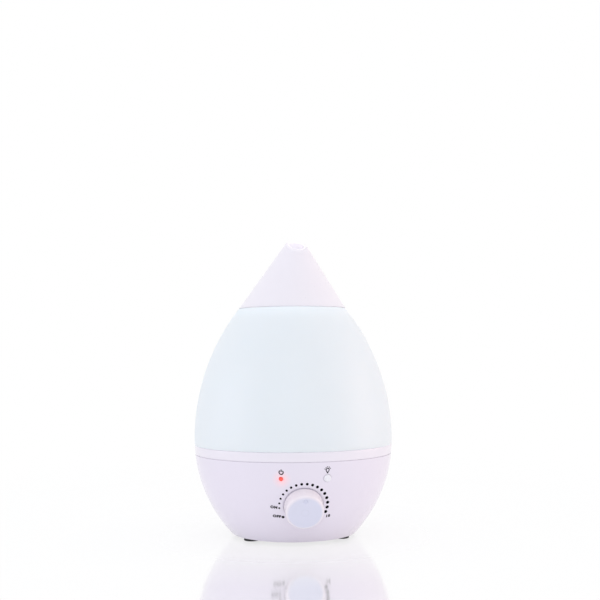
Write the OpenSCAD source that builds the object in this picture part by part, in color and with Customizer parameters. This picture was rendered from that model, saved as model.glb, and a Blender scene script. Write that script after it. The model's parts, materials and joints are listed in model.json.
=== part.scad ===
// Ultrasonic cool mist humidifier with a drop-shaped body: a base with the mist
// generator, a lift-off water tank with a chimney, and a turning mist nozzle.
// Millimetres. +Z is up, the control panel faces -Y, the floor is z = 0, and the
// body's axis of revolution is the Z axis.

/* [Body] */
// Diameter at the widest point
body_d = 170; // [166:1:210]
// Height of the widest point above the floor
belly_z = 83; // [80:0.5:86]
// Radius of the arc that shapes the tank's side
tank_arc_r = 182; // [165:1:260]
// Radius of the arc that shapes the base's side
base_arc_r = 117; // [112:1:145]
// Height of the seam between the base and the tank
seam_z = 79; // [78:0.5:82]
// Height of the tank's top rim, where the nozzle sits
tank_top_z = 195.2; // [160:0.1:205]
// Visible gap between parts that lift off or butt
seam_gap = 0.3; // [0.2:0.05:0.6]

/* [Base shell] */
// Wall of the lower shell
base_wall = 2.5; // [2:0.1:3.2]
// Height of the rim band on top of the shell
band_h = 8; // [6:0.5:10]
// Rounding of the band's lower edge
band_low_round = 2; // [0.5:0.1:2.2]
// Rounding of the band's upper edge
band_top_round = 1.5; // [0.5:0.1:2]
// Share of each edge rounding that lies past its edge, which keeps the seams shallow
edge_share = 0.25; // [0:0.05:0.5]
// Height of the rubber feet
foot_h = 3; // [2:0.5:4]
// Radius of one rubber foot
foot_r = 6.5; // [5:0.5:8]
// Thickness of the bottom cover
cover_t = 2.5; // [2:0.1:3]
// Width of one air intake slot
slot_w = 2.4; // [1.5:0.1:3]
// Nominal radius of the small self-tapping screws
screw_r = 1.4; // [1.2:0.1:1.6]

/* [Control panel] */
// Height of the knob's axis on the shell
panel_z = 35.5; // [33:0.5:40]
// Radius of the knob at the shell
knob_r = 15.8; // [13:0.1:19]
// Difference between the knob's radius at the shell and at its face
knob_taper = 0.6; // [0.5:0.1:2]
// Height of the knob's face above the shell
knob_h = 10.3; // [9:0.1:14]
// Sideways distance of the lamp and the button from the knob's axis
key_x = 18.4; // [17:0.1:21]
// Distance of the lamp and the button above the knob's axis
key_y = 22.7; // [20:0.1:23]
// Radius of the light button
button_r = 3; // [2.5:0.1:3.5]
// Travel of the light button
button_travel = 0.8; // [0.5:0.1:0.8]
// Radius of the power lamp
lamp_r = 1.5; // [1.5:0.1:2.5]
// Radius of the control shaft
shaft_r = 3; // [3:0.05:3.2]

/* [Basin] */
// Depth kept free between the shell and the basin's bowl for the controls
panel_depth = 21; // [20:0.5:24]
// Wall of the basin
basin_wall = 2.5; // [2:0.1:3]
// Height of the basin's floor, top face
basin_floor_z = 52.5; // [51:0.5:54]
// Radius of the ultrasonic disc
disc_r = 10; // [8:0.1:12]
// Outer radius of the air tower
tower_r = 7; // [6:0.1:7.2]
// Radius of the float
float_r = 10; // [8:0.5:12]
// Travel of the float
float_travel = 8.5; // [5:0.5:9]
// Radius of the night light's window
window_r = 7.8; // [6:0.1:9]

/* [Tank] */
// Wall of the tank
tank_wall = 2.2; // [1.8:0.1:2.8]
// Rounding of the tank's lower edge
tank_round = 0.5; // [0.2:0.1:0.8]
// Inner radius of the chimney
chimney_r = 14; // [12:0.1:17]
// Wall of the chimney
chimney_wall = 1.6; // [1.2:0.1:2]
// Outer radius of the filler cap
cap_r = 16.2; // [15.6:0.1:16.6]
// Travel of the valve plunger
valve_travel = 3; // [2:0.5:3]

/* [Nozzle] */
// Height of the mist outlet on the cone's axis
mouth_z = 250.4; // [240:0.1:304]
// Radius of the cone at that height
mouth_r = 8.6; // [7.5:0.1:12]
// Forward lean of the cone's axis at that height
mouth_lean = 10.5; // [8:0.1:16]
// Slope of the outlet's cut
mouth_slope = 30; // [20:0.5:35]
// Direction that the outlet faces, measured from the front
nozzle_yaw = 12; // [-180:1:180]
// Wall of the nozzle
nozzle_wall = 2.2; // [1.8:0.1:2.6]

/* [Fan] */
// Side of the fan's square frame
fan_side = 40; // [36:1:42]
// Thickness of the fan's frame
fan_t = 10; // [8:0.5:12]
// Number of fan blades
blade_count = 7; // [5:1:9]

/* [Hidden] */
$fn = 96;

body_r = body_d / 2;
slack = 0.1;                  // clearance of glued and slipped-in parts
over = 1;                     // length by which a cutting body runs past a face

// The two arcs of the outline, and the radius that they give at a height.
base_axis_r = body_r - base_arc_r;
tank_axis_r = body_r - tank_arc_r;
function base_r(z, inset = 0) = base_axis_r + sqrt(pow(base_arc_r - inset, 2) - pow(belly_z - z, 2));
function tank_r(z, inset = 0) = tank_axis_r + sqrt(pow(tank_arc_r - inset, 2) - pow(z - belly_z, 2));

// Base shell and bottom cover
cover_top_z = foot_h + cover_t;
cover_rim = 2.2;              // width of the shell's edge around the cover
cover_r = base_r(foot_h) - cover_rim - seam_gap;
ledge_w = 3;                  // the shell's ledge that the cover butts against
ledge_t = 2.5;
foot_at_r = cover_r - foot_r - 0.4;
post_r = 3.5;                 // screw posts in the base
post_hole_r = screw_r + 0.1;
head_r = 2.7;
head_t = 1.4;
head_recess = 1.5;           // depth of a screw head's recess in the cover
cover_post_at_r = cover_r - 4.7;
cover_post_top_z = cover_top_z + 12;
shell_top_z = seam_z - band_h - seam_gap;

// Basin
bowl_r = body_r - panel_depth;
basin_bottom_z = basin_floor_z - basin_wall;
flange_t = 2.5;
spigot_h = 3;
spigot_w = 2;
spigot_r = base_r(shell_top_z - spigot_h, base_wall) - 0.4;
basin_post_at_r = bowl_r - 6.5;
basin_post_z = 38;            // lower end of the basin's screw posts
lug_t = 2.5;

// Mist generator
disc_t = 1.2;
well_r = disc_r + 1.5;
well_wall = 2;
tower_gap = 2;                // free width between the disc's well and the air tower
skirt_room = 1.5;             // free width between them and the tank's skirt
chamber_r = well_r + well_wall + tower_r + tower_gap / 2;
disc_x = well_r + well_wall - chamber_r;
well_floor_z = basin_floor_z - 6.5;
well_bottom_z = well_floor_z - 2;
gasket_lip = 0.6;
gasket_h = disc_t + 2 * gasket_lip;
bracket_t = 1.2;
bracket_z = well_bottom_z - gasket_h - bracket_t;
ear_at_r = well_r + 5.5;
ear_angles = [90, 180, 270];

// Air path
tower_x = chamber_r - tower_r;
tower_wall = 1.3;
tower_top_z = seam_z - 5;
tower_stub_z = well_bottom_z;
fan_z = cover_top_z + 2.5;
fan_bore_r = fan_side / 2 - 1;
fan_hub_r = 11;
fan_hole = fan_side / 2 - 4;
duct_collar_r = tower_r + 0.2;
duct_wall = 1.5;
duct_neck_z = 38;

// Float and night light, placed as mirror images in the bowl
float_at = [-38, -22];
float_post_r = 2.6;
float_h = 10;
float_low_z = basin_floor_z + 0.3;
clip_z = float_low_z + float_h + float_travel + 0.5;
clip_t = 1.2;
float_post_top_z = clip_z + clip_t + 0.5;
window_at = [38, -22];
window_flange = 2.7;
window_gasket_t = 0.8;
light_board_r = window_r + 2.4;
light_board_t = 1.6;
light_board_z = basin_bottom_z - 6.4;
light_post_r = 1.2;

// Tank
tank_bottom_z = seam_z + seam_gap;
tank_floor_t = 2.5;
tank_floor_top_z = tank_bottom_z + tank_floor_t;
rest_ring_r = bowl_r - 1;     // ring that centres the tank in the bowl
rest_ring_h = 5;
skirt_r = chamber_r + skirt_room;
skirt_wall = 1.5;
skirt_low_z = basin_floor_z + 8;
top_plate_t = 2.2;
top_plate_z = tank_top_z - 6.8 - top_plate_t;
top_rim_w = 2.2;
top_seat_r = tank_r(tank_top_z) - top_rim_w - 1.8;
collar_h = 5;

// Filler cap and valve
cap_y = skirt_r + skirt_wall + 1.8 + cap_r;
neck_wall = 1.8;
cap_wall = 2.3;
neck_r = cap_r - cap_wall - 0.5;
neck_low_z = seam_z - 10;
cap_gasket_t = 0.9;
cap_floor_t = 2;
cap_floor_z = neck_low_z - cap_gasket_t - cap_floor_t - 0.1;
cap_top_z = seam_z - 1.5;
cap_floor_top_z = cap_floor_z + cap_floor_t;
guide_low_z = cap_floor_z - 3;
stem_r = 2;
seal_r = 8.2;
seal_t = 1.6;
seal_z = cap_floor_top_z + valve_travel;
push_t = 1.2;
push_r = 4.5;
push_z = guide_low_z - 5;
valve_post_top_z = push_z - 0.3;
valve_post_r = 2.4;

// Nozzle
nozzle_z = tank_top_z + seam_gap;
nozzle_base_r = tank_r(tank_top_z) - 0.2;
cone_slope = (nozzle_base_r - mouth_r) / (mouth_z - nozzle_z);
cone_lean = mouth_lean / (mouth_z - nozzle_z);
mouth_rise = mouth_r * tan(mouth_slope) / (1 + tan(mouth_slope) * (cone_slope + cone_lean));
cone_h = mouth_z - nozzle_z + mouth_rise + slack;
nozzle_skirt_r = top_seat_r - 0.5;
nozzle_skirt_h = 6.3;
nozzle_skirt_w = 2.2;
nozzle_shoulder_t = 2;
guide_flange_t = 2;
guide_flange_r = nozzle_skirt_r - nozzle_skirt_w - 0.3;
guide_z = top_plate_z + top_plate_t + seam_gap;
guide_tube_r = 9;
guide_wall = 1.5;
guide_top_z = nozzle_z + 26;

// Control panel frame: its origin is where the knob's axis meets the shell, x is
// to the right, y up along the shell and z straight out.
panel_tilt = asin((belly_z - panel_z) / base_arc_r);
panel_at = [0, -base_r(panel_z), panel_z];
nut_seat_r = 9;
recess_z = -0.8;              // floor of the nut's seat under the knob
boss_t = 4.6;
boss_z = recess_z - boss_t;
boss_r = knob_r + 3.2;
board_z = boss_z - 5.6;
board_t = 1.6;
knob_low_z = recess_z + 0.4;
knob_face_r = knob_r - knob_taper;
knob_hub_z = 2.2;             // lower end of the knob's hub

function panel_point(p) = panel_at + [
    p[0],
    -p[1] * sin(panel_tilt) - p[2] * cos(panel_tilt),
    p[1] * cos(panel_tilt) - p[2] * sin(panel_tilt)
];
// Depth of the shell's outer face under a point of the panel plane.
function panel_drop(x, y, z = 0, steps = 12) =
    let (p = panel_point([x, y, z]))
    steps == 0 ? z : panel_drop(x, y, z - (norm([p[0], p[1]]) - base_r(p[2])), steps - 1);
key_z = panel_drop(key_x, key_y);
key_wall = 1.3;               // wall left around the button and the lamp
key_proud = 1.4;              // height of the button above the shell

// Supply socket at the rear
jack_z = 20;
jack_r = 3.9;
jack_flange_r = 6;
jack_bore_r = 2.85;
jack_bore_depth = 9.5;
jack_pin_r = 1.05;
jack_len = 14;
pocket_w = 24;
pocket_low_z = 12;
pocket_high_z = 29;
pocket_wall = 2.2;
pocket_y = base_r(jack_z) - 6.6;

// Driver board on the bottom cover
driver_size = [34, 40];
driver_at = [tower_x - (fan_side + driver_size[0]) / 2 - 2.5, -3];
driver_t = 1.6;
driver_z = cover_top_z + 4.5;
driver_top_z = driver_z + driver_t;
lead_r = 0.9;
// Where each lead meets the driver board, and the height of its last straight stretch.
disc_lead_at = driver_at + [14, 1];
fan_lead_at = driver_at + [14, 4.5];
jack_lead_at = driver_at + [14, 11];
panel_lead_at = driver_at + [14, -4];
light_lead_at = driver_at + [14, -9];
float_lead_at = driver_at + [-6, -14];
lead_drop_z = driver_top_z + 5.5;

//// Helpers

module at(xy, z = 0) { translate([xy[0], xy[1], z]) children(); }

module at_panel() { translate(panel_at) rotate([90 + panel_tilt, 0, 0]) children(); }

module around(angles, r, z = 0) {
    for (a = angles) rotate([0, 0, a]) translate([r, 0, z]) children();
}

// A rectangle of the half-section, from radius r1 to r2 and height z1 to z2.
module band2(r1, r2, z1, z2) { translate([r1, z1]) square([r2 - r1, z2 - z1]); }

// The half-section inside the base's or the tank's arc, between two heights.
module base2(inset, z1, z2) {
    intersection() {
        translate([base_axis_r, belly_z]) circle(r = base_arc_r - inset);
        band2(0, body_r + over, z1, z2);
    }
}

module tank2(inset, z1, z2) {
    intersection() {
        translate([tank_axis_r, belly_z]) circle(r = tank_arc_r - inset);
        band2(0, body_r + over, z1, z2);
    }
}

// What rounds off the outer edge of a flat end. The end is 1 on top of a body and -1 below it.
module soft_edge(axis_r, arc_r, z, edge_r, end) {
    mid_z = z - end * edge_r * (1 - edge_share);
    mid_r = axis_r + sqrt(pow(arc_r - edge_r, 2) - pow(mid_z - belly_z, 2));
    side_z = mid_z + edge_r * (mid_z - belly_z) / (arc_r - edge_r);
    difference() {
        band2(mid_r, body_r + over, min(side_z, z + end * over), max(side_z, z + end * over));
        translate([mid_r, mid_z]) circle(r = edge_r, $fn = 48);
    }
}

module tube(r_out, r_in, h) {
    difference() {
        cylinder(r = r_out, h = h);
        translate([0, 0, -over]) cylinder(r = r_in, h = h + 2 * over);
    }
}

module screw(length) {
    difference() {
        union() {
            cylinder(r = head_r, h = head_t);
            cylinder(r = screw_r, h = head_t + length);
        }
        for (a = [0, 90]) rotate([0, 0, a]) cube([head_r, 0.6, 1.2], center = true);
    }
}

// A round lead through points: one closed sweep with 8 sides and 3 rings a stretch.
// Its ends are cut square to the first and the last stretch.
function smooth(p, t) =
    let (n = len(p) - 1, s = min(floor(t), n - 1), u = t - s,
         a = p[max(s - 1, 0)], b = p[s], c = p[s + 1], d = p[min(s + 2, n)])
    0.5 * (2 * b + (c - a) * u + (2 * a - 5 * b + 4 * c - d) * u * u
        + (3 * b - a - 3 * c + d) * u * u * u);

module lead(points, r = lead_r) {
    sides = 8;
    rings = 3 * (len(points) - 1);
    line = [for (i = [0:rings]) smooth(points, i / 3)];
    ring_points = [for (i = [0:rings])
        let (t = i == 0 ? points[1] - points[0]
                : i == rings ? points[len(points) - 1] - points[len(points) - 2]
                : line[i + 1] - line[i - 1],
             w = t / norm(t),
             side = cross(w, [0.31, 0.9, 0.22]),
             u = side / norm(side), v = cross(w, u))
        for (k = [0:sides - 1]) line[i] + r * (cos(360 * k / sides) * u + sin(360 * k / sides) * v)];
    walls = [for (i = [0:rings - 1], k = [0:sides - 1])
        let (a = i * sides + k, b = i * sides + (k + 1) % sides)
        for (f = [[a, b + sides, b], [a, a + sides, b + sides]]) f];
    start = [[for (k = [0:sides - 1]) k]];
    finish = [[for (k = [sides - 1:-1:0]) rings * sides + k]];
    polyhedron(points = ring_points, faces = concat(walls, start, finish));
}

//// Base

module base_outer(inset) { rotate_extrude() base2(inset, foot_h, shell_top_z); }

module base_shell() {
    color("white") difference() {
        union() {
            rotate_extrude() difference() {
                base2(0, foot_h, shell_top_z);
                base2(base_wall, cover_top_z + ledge_t, shell_top_z + over);
                band2(0, cover_r - ledge_w, 0, cover_top_z + ledge_t + over);
                band2(0, cover_r + seam_gap, 0, cover_top_z);
            }
            intersection() {
                base_outer(0.5);
                shell_inner_features();
            }
        }
        at_panel() panel_cuts();
        jack_pocket();
        translate([0, 0, jack_z]) rotate([-90, 0, 0]) cylinder(r = jack_r + 0.2, h = body_r);
        around([270, 30, 150], cover_post_at_r, cover_top_z - over)
            cylinder(r = post_hole_r, h = 11);
        around([45, 135, 225, 315], basin_post_at_r, basin_post_z - 10)
            cylinder(r = screw_r + 0.4, h = 20);
    }
}

// Screw posts, lugs for the basin, the boss behind the knob and the socket's housing.
module shell_inner_features() {
    around([270, 30, 150], cover_post_at_r, cover_top_z + slack)
        cylinder(r = post_r, h = cover_post_top_z - cover_top_z - slack);
    around([45, 135, 225, 315], basin_post_at_r - 5, basin_post_z - seam_gap - lug_t)
        translate([0, -5, 0]) cube([body_r, 10, lug_t]);
    at_panel() translate([0, 0, boss_z]) cylinder(r = boss_r, h = -boss_z);
    translate([-pocket_w / 2 - pocket_wall, pocket_y - pocket_wall, pocket_low_z - pocket_wall])
        cube([pocket_w + 2 * pocket_wall, body_r, pocket_high_z - pocket_low_z + 2 * pocket_wall]);
}

module jack_pocket() {
    translate([-pocket_w / 2, pocket_y, pocket_low_z])
        cube([pocket_w, body_r, pocket_high_z - pocket_low_z]);
}

module panel_cuts() {
    translate([0, 0, recess_z]) cylinder(r = nut_seat_r, h = 20);
    translate([0, 0, boss_z - over]) cylinder(r = shaft_r + 0.65, h = 20);
    for (side = [-1, 1]) translate([side * key_x, key_y, 0]) {
        hole_r = side > 0 ? button_r : lamp_r;
        translate([0, 0, key_z - 20]) cylinder(r = hole_r + 0.15, h = 40);
        translate([0, 0, key_z - key_wall - 8]) cylinder(r = button_r + 2, h = 8);
    }
}

module bottom_cover() {
    color("white") difference() {
        union() {
            translate([0, 0, foot_h]) cylinder(r = cover_r, h = cover_t);
            at([tower_x, 0]) for (x = [-1, 1], y = [-1, 1])
                translate([x * fan_hole, y * fan_hole, cover_top_z - slack])
                    cylinder(r = 3, h = fan_z - cover_top_z);
            for (p = driver_corners()) at(p, cover_top_z - slack)
                cylinder(r = 2.6, h = driver_z - cover_top_z);
        }
        intersection() {
            translate([tower_x, 0, 0]) cylinder(r = fan_bore_r - 1, h = 20);
            for (i = [-6:6]) translate([tower_x - fan_side / 2, i * (slot_w + 1.6) - slot_w / 2, 0])
                cube([fan_side, slot_w, 20]);
        }
        around([270, 30, 150], cover_post_at_r, 0) {
            cylinder(r = screw_r + 0.4, h = 20);
            cylinder(r = head_r + 0.3, h = foot_h + head_recess);
        }
        at([tower_x, 0]) for (x = [-1, 1], y = [-1, 1])
            translate([x * fan_hole, y * fan_hole, foot_h + 1]) cylinder(r = screw_r + 0.1, h = 20);
        for (p = driver_corners()) at(p, foot_h + 1) cylinder(r = screw_r + 0.1, h = 20);
    }
}

function driver_corners() = [for (x = [-1, 1], y = [-1, 1])
    driver_at + [x * (driver_size[0] / 2 - 3.5), y * (driver_size[1] / 2 - 3.5)]];

module rubber_feet() {
    color("black") around([90, 210, 330], foot_at_r) cylinder(r = foot_r, h = foot_h);
}

module cover_screws() {
    color("silver") around([270, 30, 150], cover_post_at_r, foot_h + head_recess - head_t) screw(9);
}

//// Basin

module basin() {
    color("white") difference() {
        union() {
            rotate_extrude() {
                band2(0, bowl_r + basin_wall, basin_bottom_z, basin_floor_z);
                band2(bowl_r, bowl_r + basin_wall, basin_bottom_z, seam_z);
                difference() {
                    base2(0, seam_z - band_h, seam_z);
                    soft_edge(base_axis_r, base_arc_r, seam_z - band_h, band_low_round, -1);
                    soft_edge(base_axis_r, base_arc_r, seam_z, band_top_round, 1);
                    band2(0, bowl_r, 0, seam_z + over);
                    band2(0, spigot_r - spigot_w, 0, seam_z - flange_t);
                    band2(0, base_r(seam_z, base_wall), 0, seam_z - flange_t);
                }
                band2(spigot_r - spigot_w, spigot_r, shell_top_z - spigot_h, seam_z);
            }
            at([disc_x, 0], well_bottom_z) cylinder(r = well_r + well_wall, h = basin_floor_z - well_bottom_z);
            at([disc_x, 0]) around(ear_angles, ear_at_r, bracket_z + bracket_t)
                cylinder(r = 3.2, h = basin_floor_z - bracket_z - bracket_t - slack);
            at([tower_x, 0], tower_stub_z) cylinder(r = tower_r, h = tower_top_z - tower_stub_z);
            at(float_at, basin_bottom_z) cylinder(r = float_post_r, h = float_post_top_z - basin_bottom_z);
            at([0, cap_y], basin_bottom_z) cylinder(r = valve_post_r, h = valve_post_top_z - basin_bottom_z);
            around([45, 135, 225, 315], basin_post_at_r, basin_post_z)
                cylinder(r = post_r, h = basin_floor_z - basin_post_z - slack);
            at(window_at) around([0, 120, 240], light_board_r - light_post_r, light_board_z + light_board_t)
                cylinder(r = light_post_r, h = basin_floor_z - light_board_z - light_board_t - slack);
        }
        at([disc_x, 0], well_floor_z) cylinder(r = well_r, h = 20);
        at([disc_x, 0], well_bottom_z - over) cylinder(r = disc_r - 1.5, h = 20);
        at([disc_x, 0]) around(ear_angles, ear_at_r, bracket_z) cylinder(r = post_hole_r, h = 8);
        at([tower_x, 0], tower_stub_z - over) cylinder(r = tower_r - tower_wall, h = 60);
        at(float_at, basin_bottom_z - over) cylinder(r = float_post_r - 1, h = 18);
        around([45, 135, 225, 315], basin_post_at_r, basin_post_z - over) cylinder(r = post_hole_r, h = 9);
        at(window_at, basin_bottom_z - over) cylinder(r = window_r + slack, h = 20);
    }
}

module basin_screws() {
    color("silver") around([45, 135, 225, 315], basin_post_at_r, basin_post_z - seam_gap - lug_t - head_t) screw(9.5);
}

module ultrasonic_disc() {
    color("lightgray") at([disc_x, 0], well_bottom_z - gasket_lip - disc_t) cylinder(r = disc_r, h = disc_t);
}

module disc_gasket() {
    color("ivory") at([disc_x, 0], well_bottom_z - gasket_h) rotate_extrude() difference() {
        band2(disc_r - 1.5, well_r, 0, gasket_h);
        band2(0, disc_r, gasket_lip, gasket_lip + disc_t);
    }
}

module disc_bracket() {
    color("silver") at([disc_x, 0], bracket_z) difference() {
        union() {
            cylinder(r = well_r + 1, h = bracket_t);
            around(ear_angles, ear_at_r) cylinder(r = 3.2, h = bracket_t);
            around(ear_angles, well_r) translate([0, -3.2, 0]) cube([ear_at_r - well_r, 6.4, bracket_t]);
        }
        translate([0, 0, -over]) cylinder(r = disc_r - 2, h = 10);
        around(ear_angles, ear_at_r, -over) cylinder(r = screw_r + 0.3, h = 10);
    }
}

module bracket_screws() {
    color("silver") at([disc_x, 0]) around(ear_angles, ear_at_r, bracket_z - head_t) screw(6);
}

module float_ring() {
    color("whitesmoke") at(float_at, float_low_z) difference() {
        tube(float_r, float_post_r + 0.4, float_h);
        translate([0, 0, float_h - 0.8]) tube(float_r - 2.5, float_r - 4.5, 2);
    }
}

module float_clip() {
    color("white") at(float_at, clip_z) tube(float_post_r + 2.6, float_post_r + 0.05, clip_t);
}

module reed_switch() {
    color("seagreen") at(float_at, basin_bottom_z - 2) cylinder(r = float_post_r - 1.2, h = 16);
}

module light_window() {
    dome_r = 9;
    z = basin_floor_z + window_gasket_t;
    color("aliceblue", 0.5) at(window_at) {
        translate([0, 0, basin_bottom_z - 1]) cylinder(r = window_r, h = z - basin_bottom_z + 1 + slack);
        translate([0, 0, z]) cylinder(r = window_r + window_flange, h = 1.5);
        intersection() {
            translate([0, 0, z - 3]) sphere(r = dome_r);
            translate([0, 0, z]) cylinder(r = window_r, h = 12);
        }
    }
}

module window_gasket() {
    color("ivory") at(window_at, basin_floor_z) tube(window_r + window_flange - 0.5, window_r + 0.3, window_gasket_t);
}

module light_board() {
    color("darkgreen") at(window_at, light_board_z) cylinder(r = light_board_r, h = light_board_t);
}

module light_chips() {
    color("lightyellow") at(window_at, light_board_z + light_board_t)
        around([45, 135, 225, 315], 3.8) translate([-2.5, -2.5, 0]) cube([5, 5, 1.6]);
}

//// Fan and air duct

module fan_frame() {
    color("dimgray") at([tower_x, 0], fan_z) difference() {
        union() {
            difference() {
                translate([-fan_side / 2, -fan_side / 2, 0]) cube([fan_side, fan_side, fan_t]);
                translate([0, 0, -over]) cylinder(r = fan_bore_r, h = fan_t + 2 * over);
            }
            cylinder(r = fan_hub_r, h = 1.5);
            tube(2.2, 1.06, 6);
            for (a = [45:90:315]) rotate([0, 0, a]) translate([fan_hub_r - 2, -1, 0])
                cube([fan_bore_r - fan_hub_r + 4, 2, 1.5]);
        }
        translate([0, 0, -over]) cylinder(r = 1.06, h = 10);
        for (x = [-1, 1], y = [-1, 1]) translate([x * fan_hole, y * fan_hole, -over])
            cylinder(r = screw_r + 0.3, h = fan_t + 2 * over);
    }
}

module fan_rotor() {
    blade_tip_r = fan_bore_r - 0.6;
    color("black") at([tower_x, 0], fan_z + 2) {
        difference() {
            cylinder(r = fan_hub_r, h = fan_t - 3);
            translate([0, 0, -over]) cylinder(r = fan_hub_r - 1.5, h = fan_t - 3);
        }
        cylinder(r = 1, h = fan_t - 3);
        intersection() {
            for (i = [0:blade_count - 1]) rotate([0, 0, i * 360 / blade_count])
                translate([fan_hub_r - 0.5, 0, (fan_t - 3) / 2]) rotate([38, 0, 0])
                    translate([0, -4.5, -0.5]) cube([fan_side, 9, 1]);
            difference() {
                cylinder(r = blade_tip_r, h = fan_t - 3);
                translate([0, 0, -over]) cylinder(r = fan_hub_r - 0.5, h = fan_t);
            }
        }
    }
}

module fan_screws() {
    color("silver") at([tower_x, 0], fan_z + fan_t + 1.5 + head_t) for (x = [-1, 1], y = [-1, 1])
        translate([x * fan_hole, y * fan_hole, 0]) mirror([0, 0, 1]) screw(fan_t + 4);
}

module air_duct() {
    z = fan_z + fan_t;
    color("gainsboro") at([tower_x, 0]) difference() {
        union() {
            translate([-fan_side / 2, -fan_side / 2, z]) cube([fan_side, fan_side, 1.5]);
            translate([0, 0, z]) cylinder(r1 = fan_bore_r - 1.5, r2 = duct_collar_r + duct_wall, h = duct_neck_z - z);
            translate([0, 0, duct_neck_z - slack])
                cylinder(r = duct_collar_r + duct_wall, h = basin_bottom_z - seam_gap - duct_neck_z + slack);
        }
        translate([0, 0, z - slack]) cylinder(r1 = fan_bore_r - 3, r2 = duct_collar_r, h = duct_neck_z - z + slack);
        translate([0, 0, duct_neck_z - 2 * slack]) cylinder(r = duct_collar_r, h = 40);
        for (x = [-1, 1], y = [-1, 1]) translate([x * fan_hole, y * fan_hole, z - over])
            cylinder(r = screw_r + 0.3, h = 10);
    }
}

//// Boards

module driver_board() {
    color("darkgreen") at(driver_at, driver_z) difference() {
        translate([-driver_size[0] / 2, -driver_size[1] / 2, 0]) cube([driver_size[0], driver_size[1], driver_t]);
        for (p = driver_corners()) translate([p[0] - driver_at[0], p[1] - driver_at[1], -over])
            cylinder(r = screw_r + 0.3, h = 10);
    }
}

module board_screws() {
    color("silver") for (p = driver_corners()) at(p, driver_top_z + head_t) mirror([0, 0, 1]) screw(6);
}

module heat_sink() {
    color("silver") at(driver_at, driver_top_z) translate([-14, -13, 0]) {
        cube([2, 26, 18]);
        for (y = [0:4:24]) translate([-2.8, y, 0]) cube([3, 1.2, 18]);
    }
}

module power_transistor() {
    color("dimgray") at(driver_at, driver_top_z) translate([-12, -5, 3]) {
        cube([4.5, 10, 9]);
        cube([1.2, 10, 15]);
        for (y = [1.9, 4.5, 7.1]) translate([2, y, -3]) cube([0.8, 0.8, 3.5]);
    }
}

module board_capacitors() {
    color("midnightblue") at(driver_at, driver_top_z) {
        translate([6, 12, 0]) cylinder(r = 4, h = 12);
        translate([6, 2, 0]) cylinder(r = 4, h = 12);
        translate([-3, 15, 0]) cylinder(r = 2.5, h = 8);
    }
}

module board_coil() {
    color("peru") at(driver_at, driver_top_z) translate([4, -12, 0]) tube(6.5, 3, 5);
}

module control_board() {
    color("darkgreen") at_panel() translate([-key_x - 4.6, -10, board_z - board_t])
        cube([2 * key_x + 9.2, key_y + 14, board_t]);
}

module control_pot() {
    color("silver") at_panel() difference() {
        union() {
            translate([0, 0, board_z]) cylinder(r = 8, h = boss_z - board_z);
            translate([0, 0, boss_z - slack]) cylinder(r = shaft_r + 0.5, h = -boss_z + 1.5);
        }
        translate([0, 0, board_z + 1]) cylinder(r = shaft_r + 0.06, h = 30);
    }
}

module pot_nut() {
    color("silver") at_panel() translate([0, 0, recess_z]) difference() {
        cylinder(r = 5.6, h = 2, $fn = 6);
        translate([0, 0, -over]) cylinder(r = shaft_r + 0.55, h = 10);
    }
}

module control_shaft() {
    color("gainsboro") at_panel() difference() {
        translate([0, 0, board_z + 1.2]) cylinder(r = shaft_r, h = knob_h - 3.3 - board_z - 1.2);
        translate([-5, shaft_r - 1.5, knob_hub_z - 0.2]) cube([10, 5, 20]);
    }
}

module knob() {
    hub_r = shaft_r + 2.2;
    wall = 2;
    dimple_r = 4;
    color("white") at_panel() difference() {
        union() {
            difference() {
                translate([0, 0, knob_low_z]) cylinder(r1 = knob_r, r2 = knob_face_r, h = knob_h - knob_low_z);
                translate([0, 0, knob_low_z - over])
                    cylinder(r1 = knob_r - wall, r2 = knob_face_r - wall, h = knob_h - knob_low_z - wall + over);
            }
            translate([0, 0, knob_hub_z]) cylinder(r = hub_r, h = knob_h - 0.8 - knob_hub_z);
        }
        difference() {
            translate([0, 0, knob_hub_z - over]) cylinder(r = shaft_r + 0.05, h = knob_h - 3.2 - knob_hub_z + over);
            translate([-5, shaft_r - 1.45, 0]) cube([10, 5, 20]);
        }
        translate([0, knob_face_r - 4.6, knob_h + dimple_r - 0.45]) sphere(r = dimple_r);
        translate([0, 0, knob_h + 120 - 0.5]) sphere(r = 120);
    }
}

module power_lamp() {
    z = panel_drop(-key_x, key_y);
    color("red") at_panel() translate([-key_x, key_y, 0]) {
        translate([0, 0, z + 0.2]) intersection() {
            sphere(r = lamp_r);
            translate([0, 0, -0.2]) cylinder(r = lamp_r + 1, h = 5);
        }
        translate([0, 0, board_z + 0.6]) cylinder(r = lamp_r, h = z + 0.2 - board_z - 0.6);
        translate([0, 0, board_z + 0.6]) cylinder(r = lamp_r + 0.35, h = 1);
        for (x = [-0.9, 0.5]) translate([x, -0.2, board_z]) cube([0.4, 0.4, 0.8]);
    }
}

button_flange_z = key_z - key_wall - seam_gap;
button_flange_t = 0.8;
switch_top_z = button_flange_z - button_flange_t - button_travel - 0.4;

module light_switch() {
    color("dimgray") at_panel() translate([key_x, key_y, board_z]) difference() {
        translate([-3, -3, 0]) cube([6, 6, switch_top_z - board_z]);
        translate([0, 0, 0.6]) cylinder(r = 1.7, h = 10);
    }
}

module switch_plunger() {
    low = board_z + 0.6 + button_travel + 0.3;
    color("black") at_panel() translate([key_x, key_y, low])
        cylinder(r = 1.6, h = button_flange_z - button_flange_t - low);
}

module light_button() {
    color("white") at_panel() translate([key_x, key_y, 0]) {
        translate([0, 0, button_flange_z - button_flange_t]) cylinder(r = button_r + 1.2, h = button_flange_t);
        translate([0, 0, button_flange_z - slack]) cylinder(r = button_r, h = key_z + key_proud - button_flange_z + slack);
    }
}

//// Supply socket

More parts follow.
